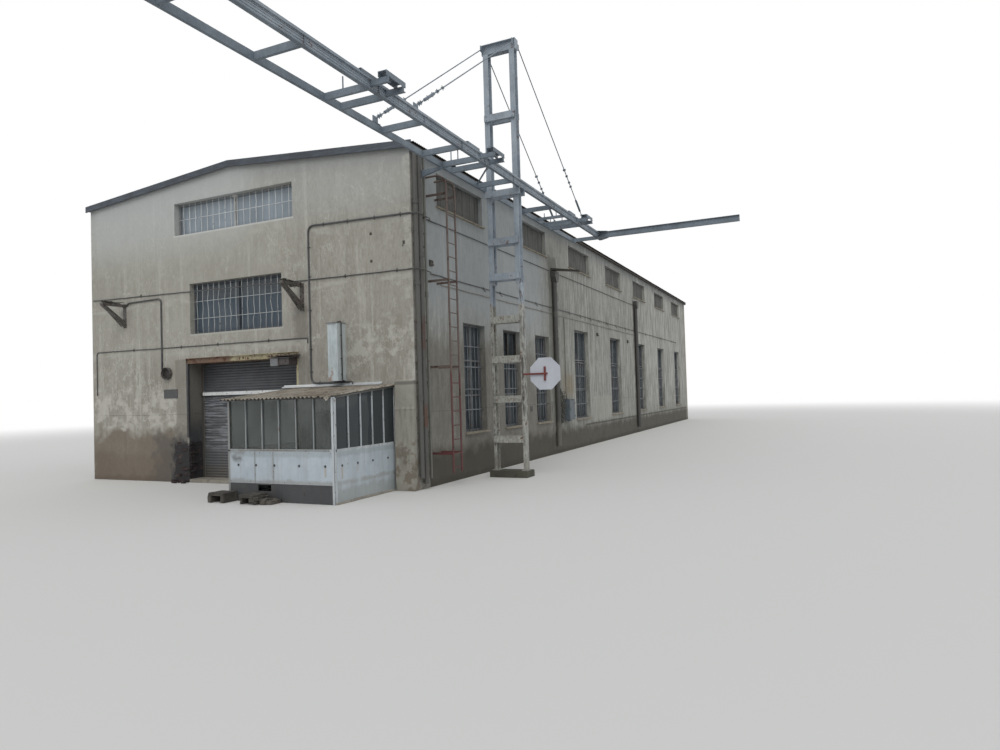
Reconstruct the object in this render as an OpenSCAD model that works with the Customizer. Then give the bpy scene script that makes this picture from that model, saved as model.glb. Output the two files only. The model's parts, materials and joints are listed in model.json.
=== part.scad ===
// Plastered brick factory hall with a glazed annex and an overhead steel pipe bridge.
// All sizes are millimetres. The origin is the middle of the hall's footprint at ground level,
// the gable front faces -Y and the long wall beside the bridge faces +X.

/* [Hall] */
// Width of the hall over its side walls
hall_w = 10000; // [9600:50:10400]
// Number of bays along the hall
bays = 7; // [5:1:7]
// Length of a bay
bay_pitch = 4450; // [4350:5:4550]
// Middle of the first bay from the front wall's face
bay_front = 2250; // [2150:10:2350]
// Rear wall's face from the middle of the last bay
bay_rear = 3050; // [2900:10:3200]
// Height of the side walls at their outer face
eave_h = 7150; // [7100:10:7400]
// Height of the ridge above the eaves
ridge_rise = 410; // [340:10:600]
// Thickness of the brick walls with plaster
wall_t = 500; // [490:5:560]
// Thickness of the concrete floor
floor_t = 80; // [60:5:120]

/* [Roof] */
// Thickness of the boarded roof deck
deck_t = 60; // [40:5:80]
// Deck beyond the outer face of the side walls
eave_overhang = 90; // [60:5:140]
// Deck beyond the outer face of the gable walls
verge_overhang = 60; // [40:5:100]
// Distance between the crests of the roof sheets
wave_pitch = 177; // [150:1:200]
// Height of the waves of the roof sheets
wave_depth = 46; // [35:1:55]
// Thickness of the roof sheets
sheet_t = 7; // [5:1:9]
// Height of the boards along the gable edges
verge_h = 150; // [130:5:190]
// Width of one wing of the ridge cap
ridge_wing = 230; // [180:5:280]

/* [Front openings] */
// Width of the shutter doorway
door_w = 3400; // [3200:20:3500]
// Height of the shutter doorway
door_h = 2900; // [2800:10:3000]
// Right jamb of the doorway from the front's right corner
door_right = 3100; // [3000:10:3200]
// Height of the steel lintel beams
lintel_h = 130; // [110:5:150]
// Seat of the lintel on the wall at each end
lintel_seat = 70; // [50:5:120]
// Width of the upper gable window
gable_top_w = 3740; // [3500:20:4000]
// Sill of the upper gable window below the eaves
gable_top_drop = 1050; // [1030:10:1130]
// Height of the upper gable window
gable_top_h = 800; // [700:10:850]
// Width of the lower gable window
gable_low_w = 2900; // [2700:20:3100]
// Sill height of the lower gable window
gable_low_sill = 3620; // [3550:10:3700]
// Height of the lower gable window
gable_low_h = 1240; // [1100:10:1300]
// Middle of the lower gable window from the middle of the front
gable_low_x = 60; // [0:10:150]

/* [Side openings] */
// Number of close windows beside the bridge
near_count = 3; // [1:1:3]
// Front edge of the first close window from the front wall's face
near_first = 2200; // [2100:10:2300]
// Distance between the close windows
near_pitch = 2275; // [2200:5:2350]
// Width of the close windows
near_w = 1160; // [1000:10:1250]
// Sill height of the close windows
near_sill = 1050; // [950:10:1150]
// Height of the close windows
near_h = 2590; // [2400:10:2800]
// Bays at the front that have the close windows instead of a tall one
near_bays = 2; // [2:1:3]
// Width of the tall bay windows
bay_w = 1550; // [1400:10:1700]
// Sill height of the bay windows
bay_sill = 1000; // [900:10:1100]
// Height of the bay windows
bay_h = 3050; // [2900:10:3150]
// Width of the high windows
high_w = 2300; // [2100:10:2400]
// Sill of the high windows below the eaves
high_drop = 1000; // [960:10:1080]
// Height of the high windows
high_h = 740; // [650:10:780]
// How far the sills stand out of the wall
sill_out = 60; // [40:5:90]
// Height of the sills
sill_h = 45; // [35:5:60]

/* [Window frames] */
// Depth of the outer reveal in front of the frames
reveal = 140; // [100:5:180]
// Width of the frame bars
frame_w = 50; // [40:2:60]
// Depth of the frame bars
frame_d = 60; // [50:2:80]
// Width of the mullions and transoms
bar_w = 36; // [28:2:44]
// Thickness of the glass
glass_t = 8; // [6:1:12]

/* [Shutter] */
// Distance between the slats of the roller shutter
slat_pitch = 110; // [95:1:125]
// Depth of the slat profile
slat_depth = 14; // [10:1:18]
// Thickness of the slat steel
slat_t = 4; // [3:0.5:6]
// Distance from the front wall's face to the shutter guides
guide_back = 410; // [380:5:420]
// Width of the shutter guides
guide_w = 80; // [70:2:100]
// Depth of the shutter guides
guide_d = 64; // [60:1:70]
// Height of the middle of the stiffening bar
shutter_bar_z = 2150; // [2050:10:2250]
// Height of the stiffening bar
shutter_bar_h = 80; // [60:2:100]
// Width of the sheet canopy over the doorway's corner
canopy_w = 640; // [560:10:700]
// How far the canopy stands out of the wall
canopy_out = 330; // [280:5:380]
// Height of the casing under the canopy
canopy_box_h = 180; // [150:5:220]

/* [Annex] */
// Width of the glazed annex
annex_w = 2600; // [2500:10:2700]
// Depth of the annex in front of the wall
annex_d = 2025; // [1925:5:2100]
// Right side of the annex from the front's right corner
annex_right = 520; // [515:5:600]
// Underside of the annex roof at its front
annex_front_h = 1980; // [1900:10:2060]
// Underside of the annex roof at the wall
annex_back_h = 2180; // [2150:10:2240]
// Height of the dark skirting
skirt_h = 350; // [300:5:400]
// Height of the glazing's sill rail
annex_sill = 1010; // [950:10:1070]
// Side of the annex posts
post_w = 50; // [44:2:60]
// Width of the annex mullions
annex_bar_w = 28; // [22:2:36]
// Depth of the annex mullions and rails
annex_bar_d = 30; // [26:2:38]
// Number of panes in the front
annex_front_panes = 6; // [4:1:8]
// Number of panes in each side
annex_side_panes = 5; // [3:1:6]
// Thickness of the annex floor
annex_floor_t = 80; // [60:5:110]
// Thickness of the metal panels
panel_t = 20; // [15:1:25]
// First panel joint from the annex's left edge
panel_joint_a = 690; // [620:10:740]
// Second panel joint from the annex's left edge
panel_joint_b = 1150; // [1080:10:1220]
// Distance between the crests of the annex roof sheet
annex_wave = 115; // [100:1:130]
// Height of the waves of the annex roof sheet
annex_wave_depth = 28; // [22:1:34]
// Annex roof beyond the front
annex_roof_out = 190; // [150:5:230]
// Annex roof beyond each side
annex_roof_side = 45; // [30:5:50]

/* [Bridge] */
// Front end of the bridge before the front wall's face
bridge_front = 6750; // [6500:50:7000]
// Rear end of the bridge behind the front wall's face
bridge_rear = 9100; // [9050:10:9250]
// Height of the top of the outer beam
beam_top = 6900; // [6890:5:6930]
// Height of the outer beam's section
outer_h = 180; // [160:5:200]
// Width of the outer beam's flanges
outer_b = 70; // [66:1:78]
// Height of the inner beam's section
inner_h = 120; // [114:2:140]
// Width of the inner beam's flanges
inner_b = 55; // [50:1:62]
// Thickness of the beam webs
beam_web = 8; // [7:1:10]
// Thickness of the beam flanges
beam_flange = 11; // [9:1:13]
// Height of the cross members
cross_h = 112; // [100:2:114]
// Width of the cross members
cross_b = 55; // [48:1:62]
// Distance between the two members of a saddle pair
pair_gap = 420; // [390:10:450]
// How far the saddle arms reach past the outer beam
arm_out = 345; // [300:5:390]
// Length of the saddles
saddle_l = 540; // [520:10:580]
// Width of the saddle channels
saddle_w = 160; // [140:5:180]
// Height of the saddle channels
saddle_h = 85; // [70:5:100]
// Length of the pads on the outer beam
pad_l = 520; // [480:10:560]
// Height of the pads on the outer beam
pad_h = 60; // [52:2:70]
// Outer diameter of the conduits on the bridge
tray_pipe_d = 34; // [26:1:35]
// Length of the branch beam beyond the outer beam
branch_l = 4200; // [4000:50:4400]

/* [Pylon] */
// Middle of the pylon behind the front wall's face
pylon_y = 2600; // [2550:10:2650]
// Outer face of the inner leg from the side wall
pylon_in = 572; // [550:2:590]
// Width of the pylon over its legs
pylon_w = 808; // [780:2:840]
// Width of the lower leg channels
leg_w = 70; // [60:2:90]
// Width of the upper leg sections
leg_top_w = 130; // [110:2:150]
// Depth of the legs
leg_d = 180; // [160:2:200]
// Height of the splice between the lower and upper legs
splice_z = 4510; // [4460:10:4540]
// Height of the pylon's top
pylon_h = 10260; // [10150:10:10350]
// Height of the cap beam
cap_h = 250; // [220:5:280]
// Cap beam beyond the legs
cap_out = 30; // [10:5:60]
// Height of the battens
batten_h = 160; // [140:5:190]
// Depth of the battens
batten_b = 60; // [50:2:70]
// Height of the first batten's middle
batten_first = 880; // [820:10:940]
// Distance between the lower battens
batten_pitch = 930; // [900:5:950]
// Number of battens on the lower legs
batten_count = 4; // [3:1:4]
// Middle of the first batten on the upper legs
upper_first = 4675; // [4650:5:4700]
// Distance between the two battens on the upper legs
upper_pitch = 835; // [800:5:870]
// Height of the middle of the upper batten
batten_top_z = 8460; // [8350:10:8550]
// Height of the concrete plinth
plinth_h = 150; // [120:5:200]
// Margin of the plinth round the legs
plinth_margin = 70; // [60:5:100]
// Diameter of the stay rods
stay_d = 24; // [18:1:30]
// Length of the turnbuckles
buckle_l = 420; // [360:10:480]
// Front stays' seat before the front wall's face
stay_front = 2000; // [1950:10:2050]
// Rear stays' seat behind the front wall's face
stay_rear = 7430; // [7420:10:7500]
// Width over the flats of the blank octagonal plate
sign_w = 730; // [650:10:780]
// Height of the middle of the blank plate
sign_z = 2370; // [2300:10:2450]
// Middle of the blank plate out from the outer leg
sign_out = 530; // [500:10:560]

/* [Ladder] */
// Ladder out from the side wall
ladder_out = 500; // [450:5:550]
// Middle of the ladder behind the front wall's face
ladder_y = 825; // [800:5:850]
// Distance between the stiles
ladder_w = 370; // [340:5:400]
// Diameter of the stiles
stile_d = 42; // [34:1:48]
// Diameter of the rungs
rung_d = 22; // [18:1:26]
// Distance between the rungs
rung_pitch = 300; // [280:5:320]
// Height of the straight stiles' upper end
ladder_top = 6400; // [6340:10:6405]
// Radius of the bends over the top
ladder_bend = 260; // [220:5:280]
// Height of the stiles' lower end
ladder_foot = 300; // [0:10:400]
// Height of the ladder's first wall tie
ladder_tie = 680; // [620:10:760]
// Distance between the ladder's wall ties
ladder_tie_pitch = 1850; // [1800:10:1870]

/* [Wall fittings] */
// Width of the sheet metal duct
duct_w = 260; // [220:5:300]
// Depth of the sheet metal duct
duct_d = 290; // [250:5:320]
// Top of the sheet metal duct
duct_top = 3560; // [3500:10:3620]
// Middle of the duct from the front's right corner
duct_x = 1860; // [1800:10:1920]
// Diameter of the main conduits
conduit_d = 40; // [30:1:50]
// Diameter of the thin wall cables
cable_d = 24; // [18:1:30]
// Height of the upper cable on the side wall
side_cable_z = 5750; // [5700:10:5800]
// Height of the upper one of the two thin pipes on the side wall
side_pipe_z = 4590; // [4560:10:4640]
// Distance between the two thin pipes
side_pipe_gap = 190; // [150:5:220]
// Diameter of the downpipes
downpipe_d = 150; // [120:2:160]
// First downpipe behind the front wall's face
downpipe_a = 8350; // [8250:10:8420]
// Second downpipe behind the front wall's face
downpipe_b = 18960; // [18900:10:19000]
// Diameter of the pipe at the front corner
corner_pipe_d = 90; // [70:2:110]
// Reach of the triangular wall brackets
bracket_out = 660; // [600:10:720]
// Right triangular bracket from the front's right corner
bracket_near = 2900; // [2850:10:2960]
// Left triangular bracket from the front's left corner
bracket_far = 1280; // [1200:10:1400]
// Drop of the triangular wall brackets
bracket_drop = 520; // [460:10:580]
// Width of the wall brackets
bracket_w = 110; // [90:2:130]
// Middle of the cabinet behind the front wall's face
cabinet_y = 9330; // [9250:10:9500]
// Width of the cabinet on the side wall
cabinet_w = 540; // [480:10:600]
// Height of the cabinet on the side wall
cabinet_h = 660; // [600:10:720]
// Depth of the cabinet on the side wall
cabinet_d = 200; // [180:5:240]
// Sill height of the cabinet on the side wall
cabinet_z = 1020; // [960:10:1080]
// Diameter of the round wall vent
vent_d = 300; // [260:5:340]

/* [Hidden] */
$fn = 24;

// Clearance that keeps seated pieces separate
seat = 0.3;
half_w = hall_w / 2;
hall_l = bay_front + (bays - 1) * bay_pitch + bay_rear;
door_x = half_w - door_right - door_w / 2;
annex_x = half_w - annex_right - annex_w / 2;
front_y = -hall_l / 2;
rear_y = hall_l / 2;
roof_angle = atan(ridge_rise / half_w);
ridge_z = eave_h + ridge_rise;
gable_top_sill = eave_h - gable_top_drop;
high_sill = eave_h - high_drop;
deck_v = deck_t / cos(roof_angle);
cut = 50;

// Extrudes an outline drawn in Y and Z along X
module along_x(x0, x1) {
    translate([x0, 0, 0]) rotate([90, 0, 90]) linear_extrude(x1 - x0) children();
}

// Extrudes an outline drawn in X and Z along Y
module along_y(y0, y1) {
    translate([0, y1, 0]) rotate([90, 0, 0]) linear_extrude(y1 - y0) children();
}

// Box between two corners
module block(a, b) {
    translate(a) cube(b - a);
}

// Round bar between two points
module rod(a, b, d) {
    v = b - a;
    l = norm(v);
    translate(a) rotate([0, acos(v[2] / l), atan2(v[1], v[0])]) cylinder(h = l, d = d);
}

// Round bars along a list of points, a little thinner than the ball at each bend
module run(points, d) {
    slim = len(points) > 2 ? 0.86 * d : d;
    for (i = [0:len(points) - 2]) rod(points[i], points[i + 1], slim);
    for (i = [1:1:len(points) - 2]) translate(points[i]) sphere(d = d);
}

// Channel outline with its web's back on the X axis origin and its flanges towards +X
module channel_outline(h, b, web, flange) {
    difference() {
        translate([0, -h / 2]) square([b, h]);
        translate([web, -h / 2 + flange]) square([b, h - 2 * flange]);
    }
}

// I outline, h tall and b wide, about the origin
module i_outline(h, b, web, flange) {
    union() {
        square([web, h], center = true);
        translate([-b / 2, h / 2 - flange]) square([b, flange]);
        translate([-b / 2, -h / 2]) square([b, flange]);
    }
}

// Outline of a corrugated sheet, its underside at zero in the valleys
module wave_outline(length, pitch, depth, t) {
    n = round(length / pitch);
    p = length / n;
    rise = [[0, 0], [0.12, 0], [0.38, 1], [0.62, 1], [0.88, 0]];
    top = [for (i = [0:n - 1]) for (r = rise) [(i + r[0]) * p, r[1] * depth + t]];
    low = [for (i = [n - 1:-1:0]) for (k = [4:-1:0]) [(i + rise[k][0]) * p, rise[k][1] * depth]];
    polygon(concat(top, [[length, t], [length, 0]], low));
}

// Middles of the windows of one side wall from the front wall's face
near_at = [for (i = [0:near_count - 1]) near_first + near_w / 2 + i * near_pitch];
high_at = [for (i = [0:bays - 1]) bay_front + i * bay_pitch];
bay_at = [for (i = [near_bays:bays - 1]) high_at[i]];

// Each window of a side wall as its middle, sill, width, height, columns and rows
side_windows = concat(
    [for (m = near_at) [m, near_sill, near_w, near_h, 2, 3]],
    [for (m = bay_at) [m, bay_sill, bay_w, bay_h, 2, 3]],
    [for (m = high_at) [m, high_sill, high_w, high_h, 2, 1]]
);

// Each window of a gable wall in the same order
gable_windows = [
    [0, gable_top_sill, gable_top_w, gable_top_h, 2, 1],
    [gable_low_x, gable_low_sill, gable_low_w, gable_low_h, 2, 1]
];

// Outline of a gable wall
module gable_outline() {
    polygon([[-half_w, 0], [half_w, 0], [half_w, eave_h], [0, ridge_z], [-half_w, eave_h]]);
}

// Hole for a window or door in a gable wall
module gable_hole(x, sill, w, h) {
    block([x - w / 2, front_y - cut, sill], [x + w / 2, front_y + wall_t + cut, sill + h]);
}

// Front gable wall with its doorway, lintel pocket, windows and corner pier
module front_wall() {
    color("#a39b8c") union() {
        difference() {
            along_y(front_y, front_y + wall_t) gable_outline();
            for (w = gable_windows) gable_hole(w[0], w[1], w[2], w[3]);
            gable_hole(door_x, -cut, door_w, door_h + cut);
            gable_hole(door_x, door_h, door_w + 2 * lintel_seat, lintel_h);
        }
        along_x(half_w - pier_w, half_w) pier_outline();
    }
}

// Rough pier on the front wall beside the annex
pier_w = 460;
pier_h = 2300;
pier_step = 1730;
module pier_outline() {
    polygon([
        [front_y + seat, 0], [front_y - 110, 0], [front_y - 90, pier_step - 40],
        [front_y - 70, pier_step], [front_y - 70, pier_h - 30], [front_y, pier_h], [front_y + seat, pier_h]
    ]);
}

// Rear gable wall with the same windows and no doorway
module rear_wall() {
    color("#a39b8c") difference() {
        along_y(rear_y - wall_t, rear_y) gable_outline();
        mirror([0, 1, 0]) for (w = gable_windows) gable_hole(w[0], w[1], w[2], w[3]);
    }
}

// Long wall on the +X side, its top cut to the roof's slope
module side_wall() {
    difference() {
        along_y(front_y + wall_t, rear_y - wall_t) polygon([
            [half_w - wall_t, 0], [half_w, 0], [half_w, eave_h],
            [half_w - wall_t, eave_h + wall_t * tan(roof_angle)]
        ]);
        for (w = side_windows) block(
            [half_w - wall_t - cut, front_y + w[0] - w[2] / 2, w[1]],
            [half_w + cut, front_y + w[0] + w[2] / 2, w[1] + w[3]]
        );
    }
}

module right_wall() {
    color("#8f887b") side_wall();
}

module left_wall() {
    color("#8f887b") mirror([1, 0, 0]) side_wall();
}

// Concrete floor inside the walls, with a threshold in the doorway
module floor_slab() {
    color("#7d7a74") union() {
        block([wall_t - half_w, front_y + wall_t, 0], [half_w - wall_t, rear_y - wall_t, floor_t]);
        block([door_x - door_w / 2, front_y, 0], [door_x + door_w / 2, front_y + wall_t, floor_t]);
    }
}

// Boarded deck, one slab a slope
module roof_deck() {
    edge = half_w + eave_overhang;
    color("#4a4642") for (side = [0, 1]) mirror([side, 0, 0])
        along_y(front_y - verge_overhang, rear_y + verge_overhang) polygon([
            [seat, ridge_z - seat * tan(roof_angle)],
            [edge, ridge_z - edge * tan(roof_angle)],
            [edge, ridge_z - edge * tan(roof_angle) + deck_v],
            [seat, ridge_z - seat * tan(roof_angle) + deck_v]
        ]);
}

// Corrugated sheets on the deck, their waves running down the slope
module slope_sheets() {
    run_l = (half_w + eave_overhang) / cos(roof_angle) + 40;
    length = hall_l + 2 * verge_overhang;
    for (side = [0, 1]) mirror([side, 0, 0])
        translate([0, -length / 2, ridge_z + deck_v + seat]) rotate([0, roof_angle, 0])
            along_x(20, run_l) wave_outline(length, wave_pitch, wave_depth, sheet_t);
}

// Bent cap over the ridge
module ridge_cap() {
    low = (ridge_wing) * tan(roof_angle);
    z0 = ridge_z + deck_v + (wave_depth + sheet_t + 2 * seat) / cos(roof_angle);
    cap_t = 5;
    along_y(front_y - verge_overhang, rear_y + verge_overhang) polygon([
        [0, z0], [ridge_wing, z0 - low], [ridge_wing, z0 - low + cap_t], [0, z0 + cap_t],
        [-ridge_wing, z0 - low + cap_t], [-ridge_wing, z0 - low]
    ]);
}

module roof_sheets() {
    color("#4d4f52") {
        slope_sheets();
        ridge_cap();
    }
}

// Dark boards along both gable edges
module verge_boards() {
    board_t = 25;
    edge = half_w + eave_overhang;
    top = ridge_z + deck_v + wave_depth + sheet_t;
    drop = edge * tan(roof_angle);
    color("#3d3a38") for (end = [0, 1]) mirror([0, end, 0])
        along_y(front_y - verge_overhang - board_t - seat, front_y - verge_overhang - seat) polygon([
            [0, top], [edge, top - drop], [edge, top - drop - verge_h], [0, top - verge_h],
            [-edge, top - drop - verge_h], [-edge, top - drop]
        ]);
}

// Window frame in the XZ plane with its sill at zero and its front face at y zero
module window_frame(w, h, columns, rows) {
    pane_w = (w - 2 * frame_w - (columns - 1) * bar_w) / columns;
    pane_h = (h - 2 * frame_w - (rows - 1) * bar_w) / rows;
    difference() {
        block([-w / 2, 0, 0], [w / 2, frame_d, h]);
        for (c = [0:columns - 1], r = [0:rows - 1])
            translate([-w / 2 + frame_w + c * (pane_w + bar_w), -cut, frame_w + r * (pane_h + bar_w)])
                cube([pane_w, frame_d + 2 * cut, pane_h]);
    }
}

// Sheet of glass seated behind a window frame
module window_pane(w, h) {
    block([-w / 2, frame_d + seat, 0], [w / 2, frame_d + seat + glass_t, h]);
}

// Places a front window's pieces in the front wall
module at_gable(w) {
    translate([w[0], front_y + reveal, w[1]]) children();
}

// Places a side window's pieces in the +X wall
module at_side(w) {
    translate([half_w - reveal, front_y + w[0], w[1]]) rotate([0, 0, 90]) children();
}

// Like pieces for every window of the four walls, the rear and left ones mirrored
module window_frames() {
    color("#5c6063") {
        for (end = [0, 1]) mirror([0, end, 0]) for (w = gable_windows)
            at_gable(w) window_frame(w[2], w[3], w[4], w[5]);
        for (side = [0, 1]) mirror([side, 0, 0]) for (w = side_windows)
            at_side(w) window_frame(w[2], w[3], w[4], w[5]);
    }
}

module window_glass() {
    color("#39434c") {
        for (end = [0, 1]) mirror([0, end, 0]) for (w = gable_windows) at_gable(w) window_pane(w[2], w[3]);
        for (side = [0, 1]) mirror([side, 0, 0]) for (w = side_windows) at_side(w) window_pane(w[2], w[3]);
    }
}

// Mortar sills under the windows of both side walls
module window_sills() {
    ear = 40;
    color("#6b665e") for (side = [0, 1]) mirror([side, 0, 0]) for (w = side_windows)
        along_y(front_y + w[0] - w[2] / 2 - ear, front_y + w[0] + w[2] / 2 + ear) polygon([
            [half_w, w[1] - sill_h], [half_w + sill_out, w[1] - sill_h],
            [half_w + sill_out, w[1] - sill_h / 3], [half_w, w[1]]
        ]);
}

// Three steel beams that carry the wall over the doorway
module door_lintel() {
    lintel_b = 120;
    proud = 12;
    half_l = door_w / 2 + lintel_seat;
    places = [-proud + lintel_b / 2, wall_t / 2, wall_t - lintel_b / 2];
    color("#7a5a3c") for (p = places)
        along_x(door_x - half_l, door_x + half_l)
            translate([front_y + p, door_h + lintel_h / 2]) i_outline(lintel_h, lintel_b, 8, 10);
}

// Slatted curtain of the roller shutter
module roller_shutter() {
    n = round((door_h - floor_t) / slat_pitch);
    p = (door_h - floor_t) / n;
    y0 = front_y + guide_back + guide_d / 2 - slat_depth / 2 + slat_t / 2;
    wave = [[0, 0], [0.14, 0], [0.3, 1], [0.84, 1]];
    face = [for (i = [0:n - 1]) for (k = wave) [y0 + slat_depth - slat_t - k[1] * slat_depth, floor_t + (i + k[0]) * p]];
    back = [for (i = [n - 1:-1:0]) for (k = [3:-1:0])
        [y0 + slat_depth - wave[k][1] * slat_depth, floor_t + (i + wave[k][0]) * p]];
    reach = door_w / 2 - guide_w / 3;
    end = y0 + slat_depth;
    color("#45484c") along_x(door_x - reach, door_x + reach)
        polygon(concat(face, [[end - slat_t, door_h], [end, door_h]], back));
}

// Side guides of the shutter and its pale stiffening bar
module shutter_guides() {
    guide_t = 5;
    bar_d = 36;
    bar_y = front_y + guide_back - seat;
    color("#b8b6a6") union() {
        for (side = [0, 1]) translate([door_x, 0, 0]) mirror([side, 0, 0])
            translate([door_w / 2, front_y + guide_back + guide_d / 2, floor_t]) rotate([0, 0, 180])
                linear_extrude(door_h - floor_t) channel_outline(guide_d, guide_w, guide_t, guide_t);
        block(
            [door_x - door_w / 2, bar_y - bar_d, shutter_bar_z - shutter_bar_h / 2],
            [door_x + door_w / 2, bar_y, shutter_bar_z + shutter_bar_h / 2]
        );
    }
}

// Bent sheet and casing over the doorway's right corner
module door_canopy() {
    roof_t = 12;
    x1 = door_x + door_w / 2 + 90;
    x0 = x1 - canopy_w;
    y0 = front_y - 12 - seat;
    top = door_h + 10;
    color("#6e5546") union() {
        along_x(x0, x1) polygon([
            [y0, top], [front_y - canopy_out, top - 30], [front_y - canopy_out, top - 30 + roof_t],
            [y0, top + roof_t + 22]
        ]);
        along_x(x0 + 110, x1 - 60) polygon([
            [y0, top - canopy_box_h], [y0, top + 6], [front_y - canopy_out + 40, top - 20],
            [front_y - canopy_out + 40, top - canopy_box_h]
        ]);
    }
}

// Annex edges
ax0 = annex_x - annex_w / 2;
ax1 = annex_x + annex_w / 2;
ay0 = front_y - annex_d;
annex_angle = atan((annex_back_h - annex_front_h) / annex_d);
rail_h = 44;
head_h = 30;

// Underside of the annex roof at a distance from the hall's front
function annex_top(y) = annex_back_h - (front_y - y) * tan(annex_angle);

// Front of the annex: corner posts, rails and mullions
module annex_front_frame() {
    inner = annex_w - 2 * post_w;
    step = inner / annex_front_panes;
    top = annex_front_h - seat;
    translate([0, ay0, 0]) union() {
        for (x = [ax0, ax1 - post_w]) translate([x, 0, 0]) cube([post_w, post_w, top]);
        translate([ax0, 0, annex_sill - rail_h]) cube([annex_w, annex_bar_d, rail_h]);
        translate([ax0, 0, top - head_h]) cube([annex_w, annex_bar_d, head_h]);
        for (i = [1:annex_front_panes - 1])
            translate([ax0 + post_w + i * step - annex_bar_w / 2, 0, annex_sill])
                cube([annex_bar_w, annex_bar_d, top - annex_sill]);
    }
}

// Right side of the annex, its head following the roof
module annex_side_frame() {
    y0 = ay0 + post_w + seat;
    y1 = front_y - seat;
    step = (y1 - y0 - annex_bar_w) / annex_side_panes;
    along_x(ax1 - annex_bar_d, ax1) difference() {
        polygon([[y0, 0], [y1, 0], [y1, annex_top(y1) - seat], [y0, annex_top(y0) - seat]]);
        translate([y0 + annex_bar_w, -cut]) square([y1 - y0 - 2 * annex_bar_w, annex_sill - rail_h + cut]);
        for (i = [0:annex_side_panes - 1]) {
            a = y0 + annex_bar_w + i * step;
            b = y0 + (i + 1) * step;
            polygon([[a, annex_sill], [b, annex_sill], [b, annex_top(b) - head_h], [a, annex_top(a) - head_h]]);
        }
    }
}

module annex_frame() {
    color("#b9c2cb") union() {
        annex_front_frame();
        annex_side_frame();
        translate([2 * annex_x, 0, 0]) mirror([1, 0, 0]) annex_side_frame();
    }
}

// Metal panels under the glazing, flush with the frame
module annex_panels() {
    joint = 4;
    top = annex_sill - rail_h - seat;
    edges = [post_w + seat, panel_joint_a, panel_joint_b, annex_w - post_w - seat + joint];
    side_y0 = ay0 + post_w + annex_bar_w + 2 * seat;
    side_y1 = front_y - annex_bar_w - 2 * seat;
    color("#b4bfcb") union() {
        for (i = [0:2]) block([ax0 + edges[i], ay0, skirt_h], [ax0 + edges[i + 1] - joint, ay0 + panel_t, top]);
        for (x = [ax0, ax1 - panel_t]) block([x, side_y0, 0], [x + panel_t, side_y1, top]);
    }
}

// Dark skirting under the front panels with its small vent hole
module annex_skirting() {
    vent_x = panel_joint_a + 70;
    vent_w = 330;
    vent_low = 205;
    vent_high = 325;
    color("#33363a") difference() {
        block([ax0 + post_w + seat, ay0, 0], [ax1 - post_w - seat, ay0 + panel_t, skirt_h - seat]);
        block([ax0 + vent_x, ay0 - cut, vent_low], [ax0 + vent_x + vent_w, ay0 + panel_t + cut, vent_high]);
    }
}

module annex_floor() {
    inset = post_w + seat;
    color("#77736c") block([ax0 + inset, ay0 + inset, 0], [ax1 - inset, front_y - seat, annex_floor_t]);
}

// Panes behind the annex frame
module annex_glazing() {
    pane_t = 6;
    side = post_w + seat;
    back = annex_bar_d + seat;
    low = annex_sill - rail_h / 2;
    high = annex_front_h - head_h / 2;
    y0 = ay0 + side;
    y1 = front_y - seat;
    color("#4b5654") union() {
        block([ax0 + side, ay0 + back, low], [ax1 - side, ay0 + back + pane_t, high]);
        for (x = [ax0 + back, ax1 - back - pane_t]) along_x(x, x + pane_t) polygon([
            [y0, low], [y1, low], [y1, annex_top(y1) - head_h / 2], [y0, annex_top(y0) - head_h / 2]
        ]);
    }
}

// Corrugated sheet over the annex, its waves running down to the front
module annex_roof() {
    width = annex_w + 2 * annex_roof_side;
    run_l = (annex_d + annex_roof_out) / cos(annex_angle);
    color("#8a7d6c") translate([ax0 - annex_roof_side, front_y - seat, annex_back_h + seat])
        rotate([annex_angle, 0, 0]) along_y(-run_l, -20)
            wave_outline(width, annex_wave, annex_wave_depth, 5);
}

// Pale flashing between the annex roof and the wall
module annex_flashing() {
    lip = 3;
    flash_h = 60;
    flash_left = 300;
    y1 = front_y - seat;
    z0 = annex_back_h + annex_wave_depth + 5 + 2 * seat;
    color("#c9cdd0") along_x(ax0 - annex_roof_side - flash_left, half_w - 810) polygon([
        [y1, z0 + flash_h], [y1 - lip, z0 + flash_h], [y1 - lip - 14, z0 + 36], [y1 - 110, z0 + 4],
        [y1 - 110, z0], [y1 - 22, z0], [y1, z0 + 24]
    ]);
}

// Concrete blocks against the annex
module annex_steps() {
    color("#6f6a60") {
        block([ax0 - 180, ay0 - 375, 0], [ax0 + 230, ay0 - seat, 190]);
        block([ax0 + 650, ay0 - 400, 0], [ax0 + 1080, ay0 - seat, 180]);
        block([ax0 + 1080 + seat, ay0 - 340, 0], [ax0 + 1350, ay0 - seat, 110]);
    }
}

// Sheet metal duct down the wall to the annex roof: front, two sides and lid, the wall as its back
module duct_box() {
    sheet = 6;
    lid_t = 12;
    lid_out = 30;
    x0 = half_w - duct_x - duct_w / 2;
    y1 = front_y - seat;
    y0 = y1 - duct_d;
    low = annex_top(y0) + annex_wave_depth + 140;
    color("#b3bfc0") {
        block([x0, y0, low], [x0 + duct_w, y0 + sheet, duct_top]);
        for (x = [x0, x0 + duct_w - sheet]) block([x, y0 + sheet + seat, low], [x + sheet, y1, duct_top]);
        block([x0 - lid_out, y0 - lid_out, duct_top + seat], [x0 + duct_w + 10, y1, duct_top + seat + lid_t]);
    }
}

// Point on the front wall, from the front's right corner, off the face by half a diameter
function on_front(x, z, d) = [half_w - x, front_y - d / 2 - seat, z];

// Point on the side wall, from the front wall's face
function on_side(y, z, d) = [half_w + d / 2 + seat, front_y + y, z];

// Places of the vent and of the conduit that drops beside it, past the doorway's left jamb
vent_x = door_right + door_w + 680;
vent_z = 2690;
drop_x = vent_x + 190;
low_cable_z = 3330;

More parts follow.
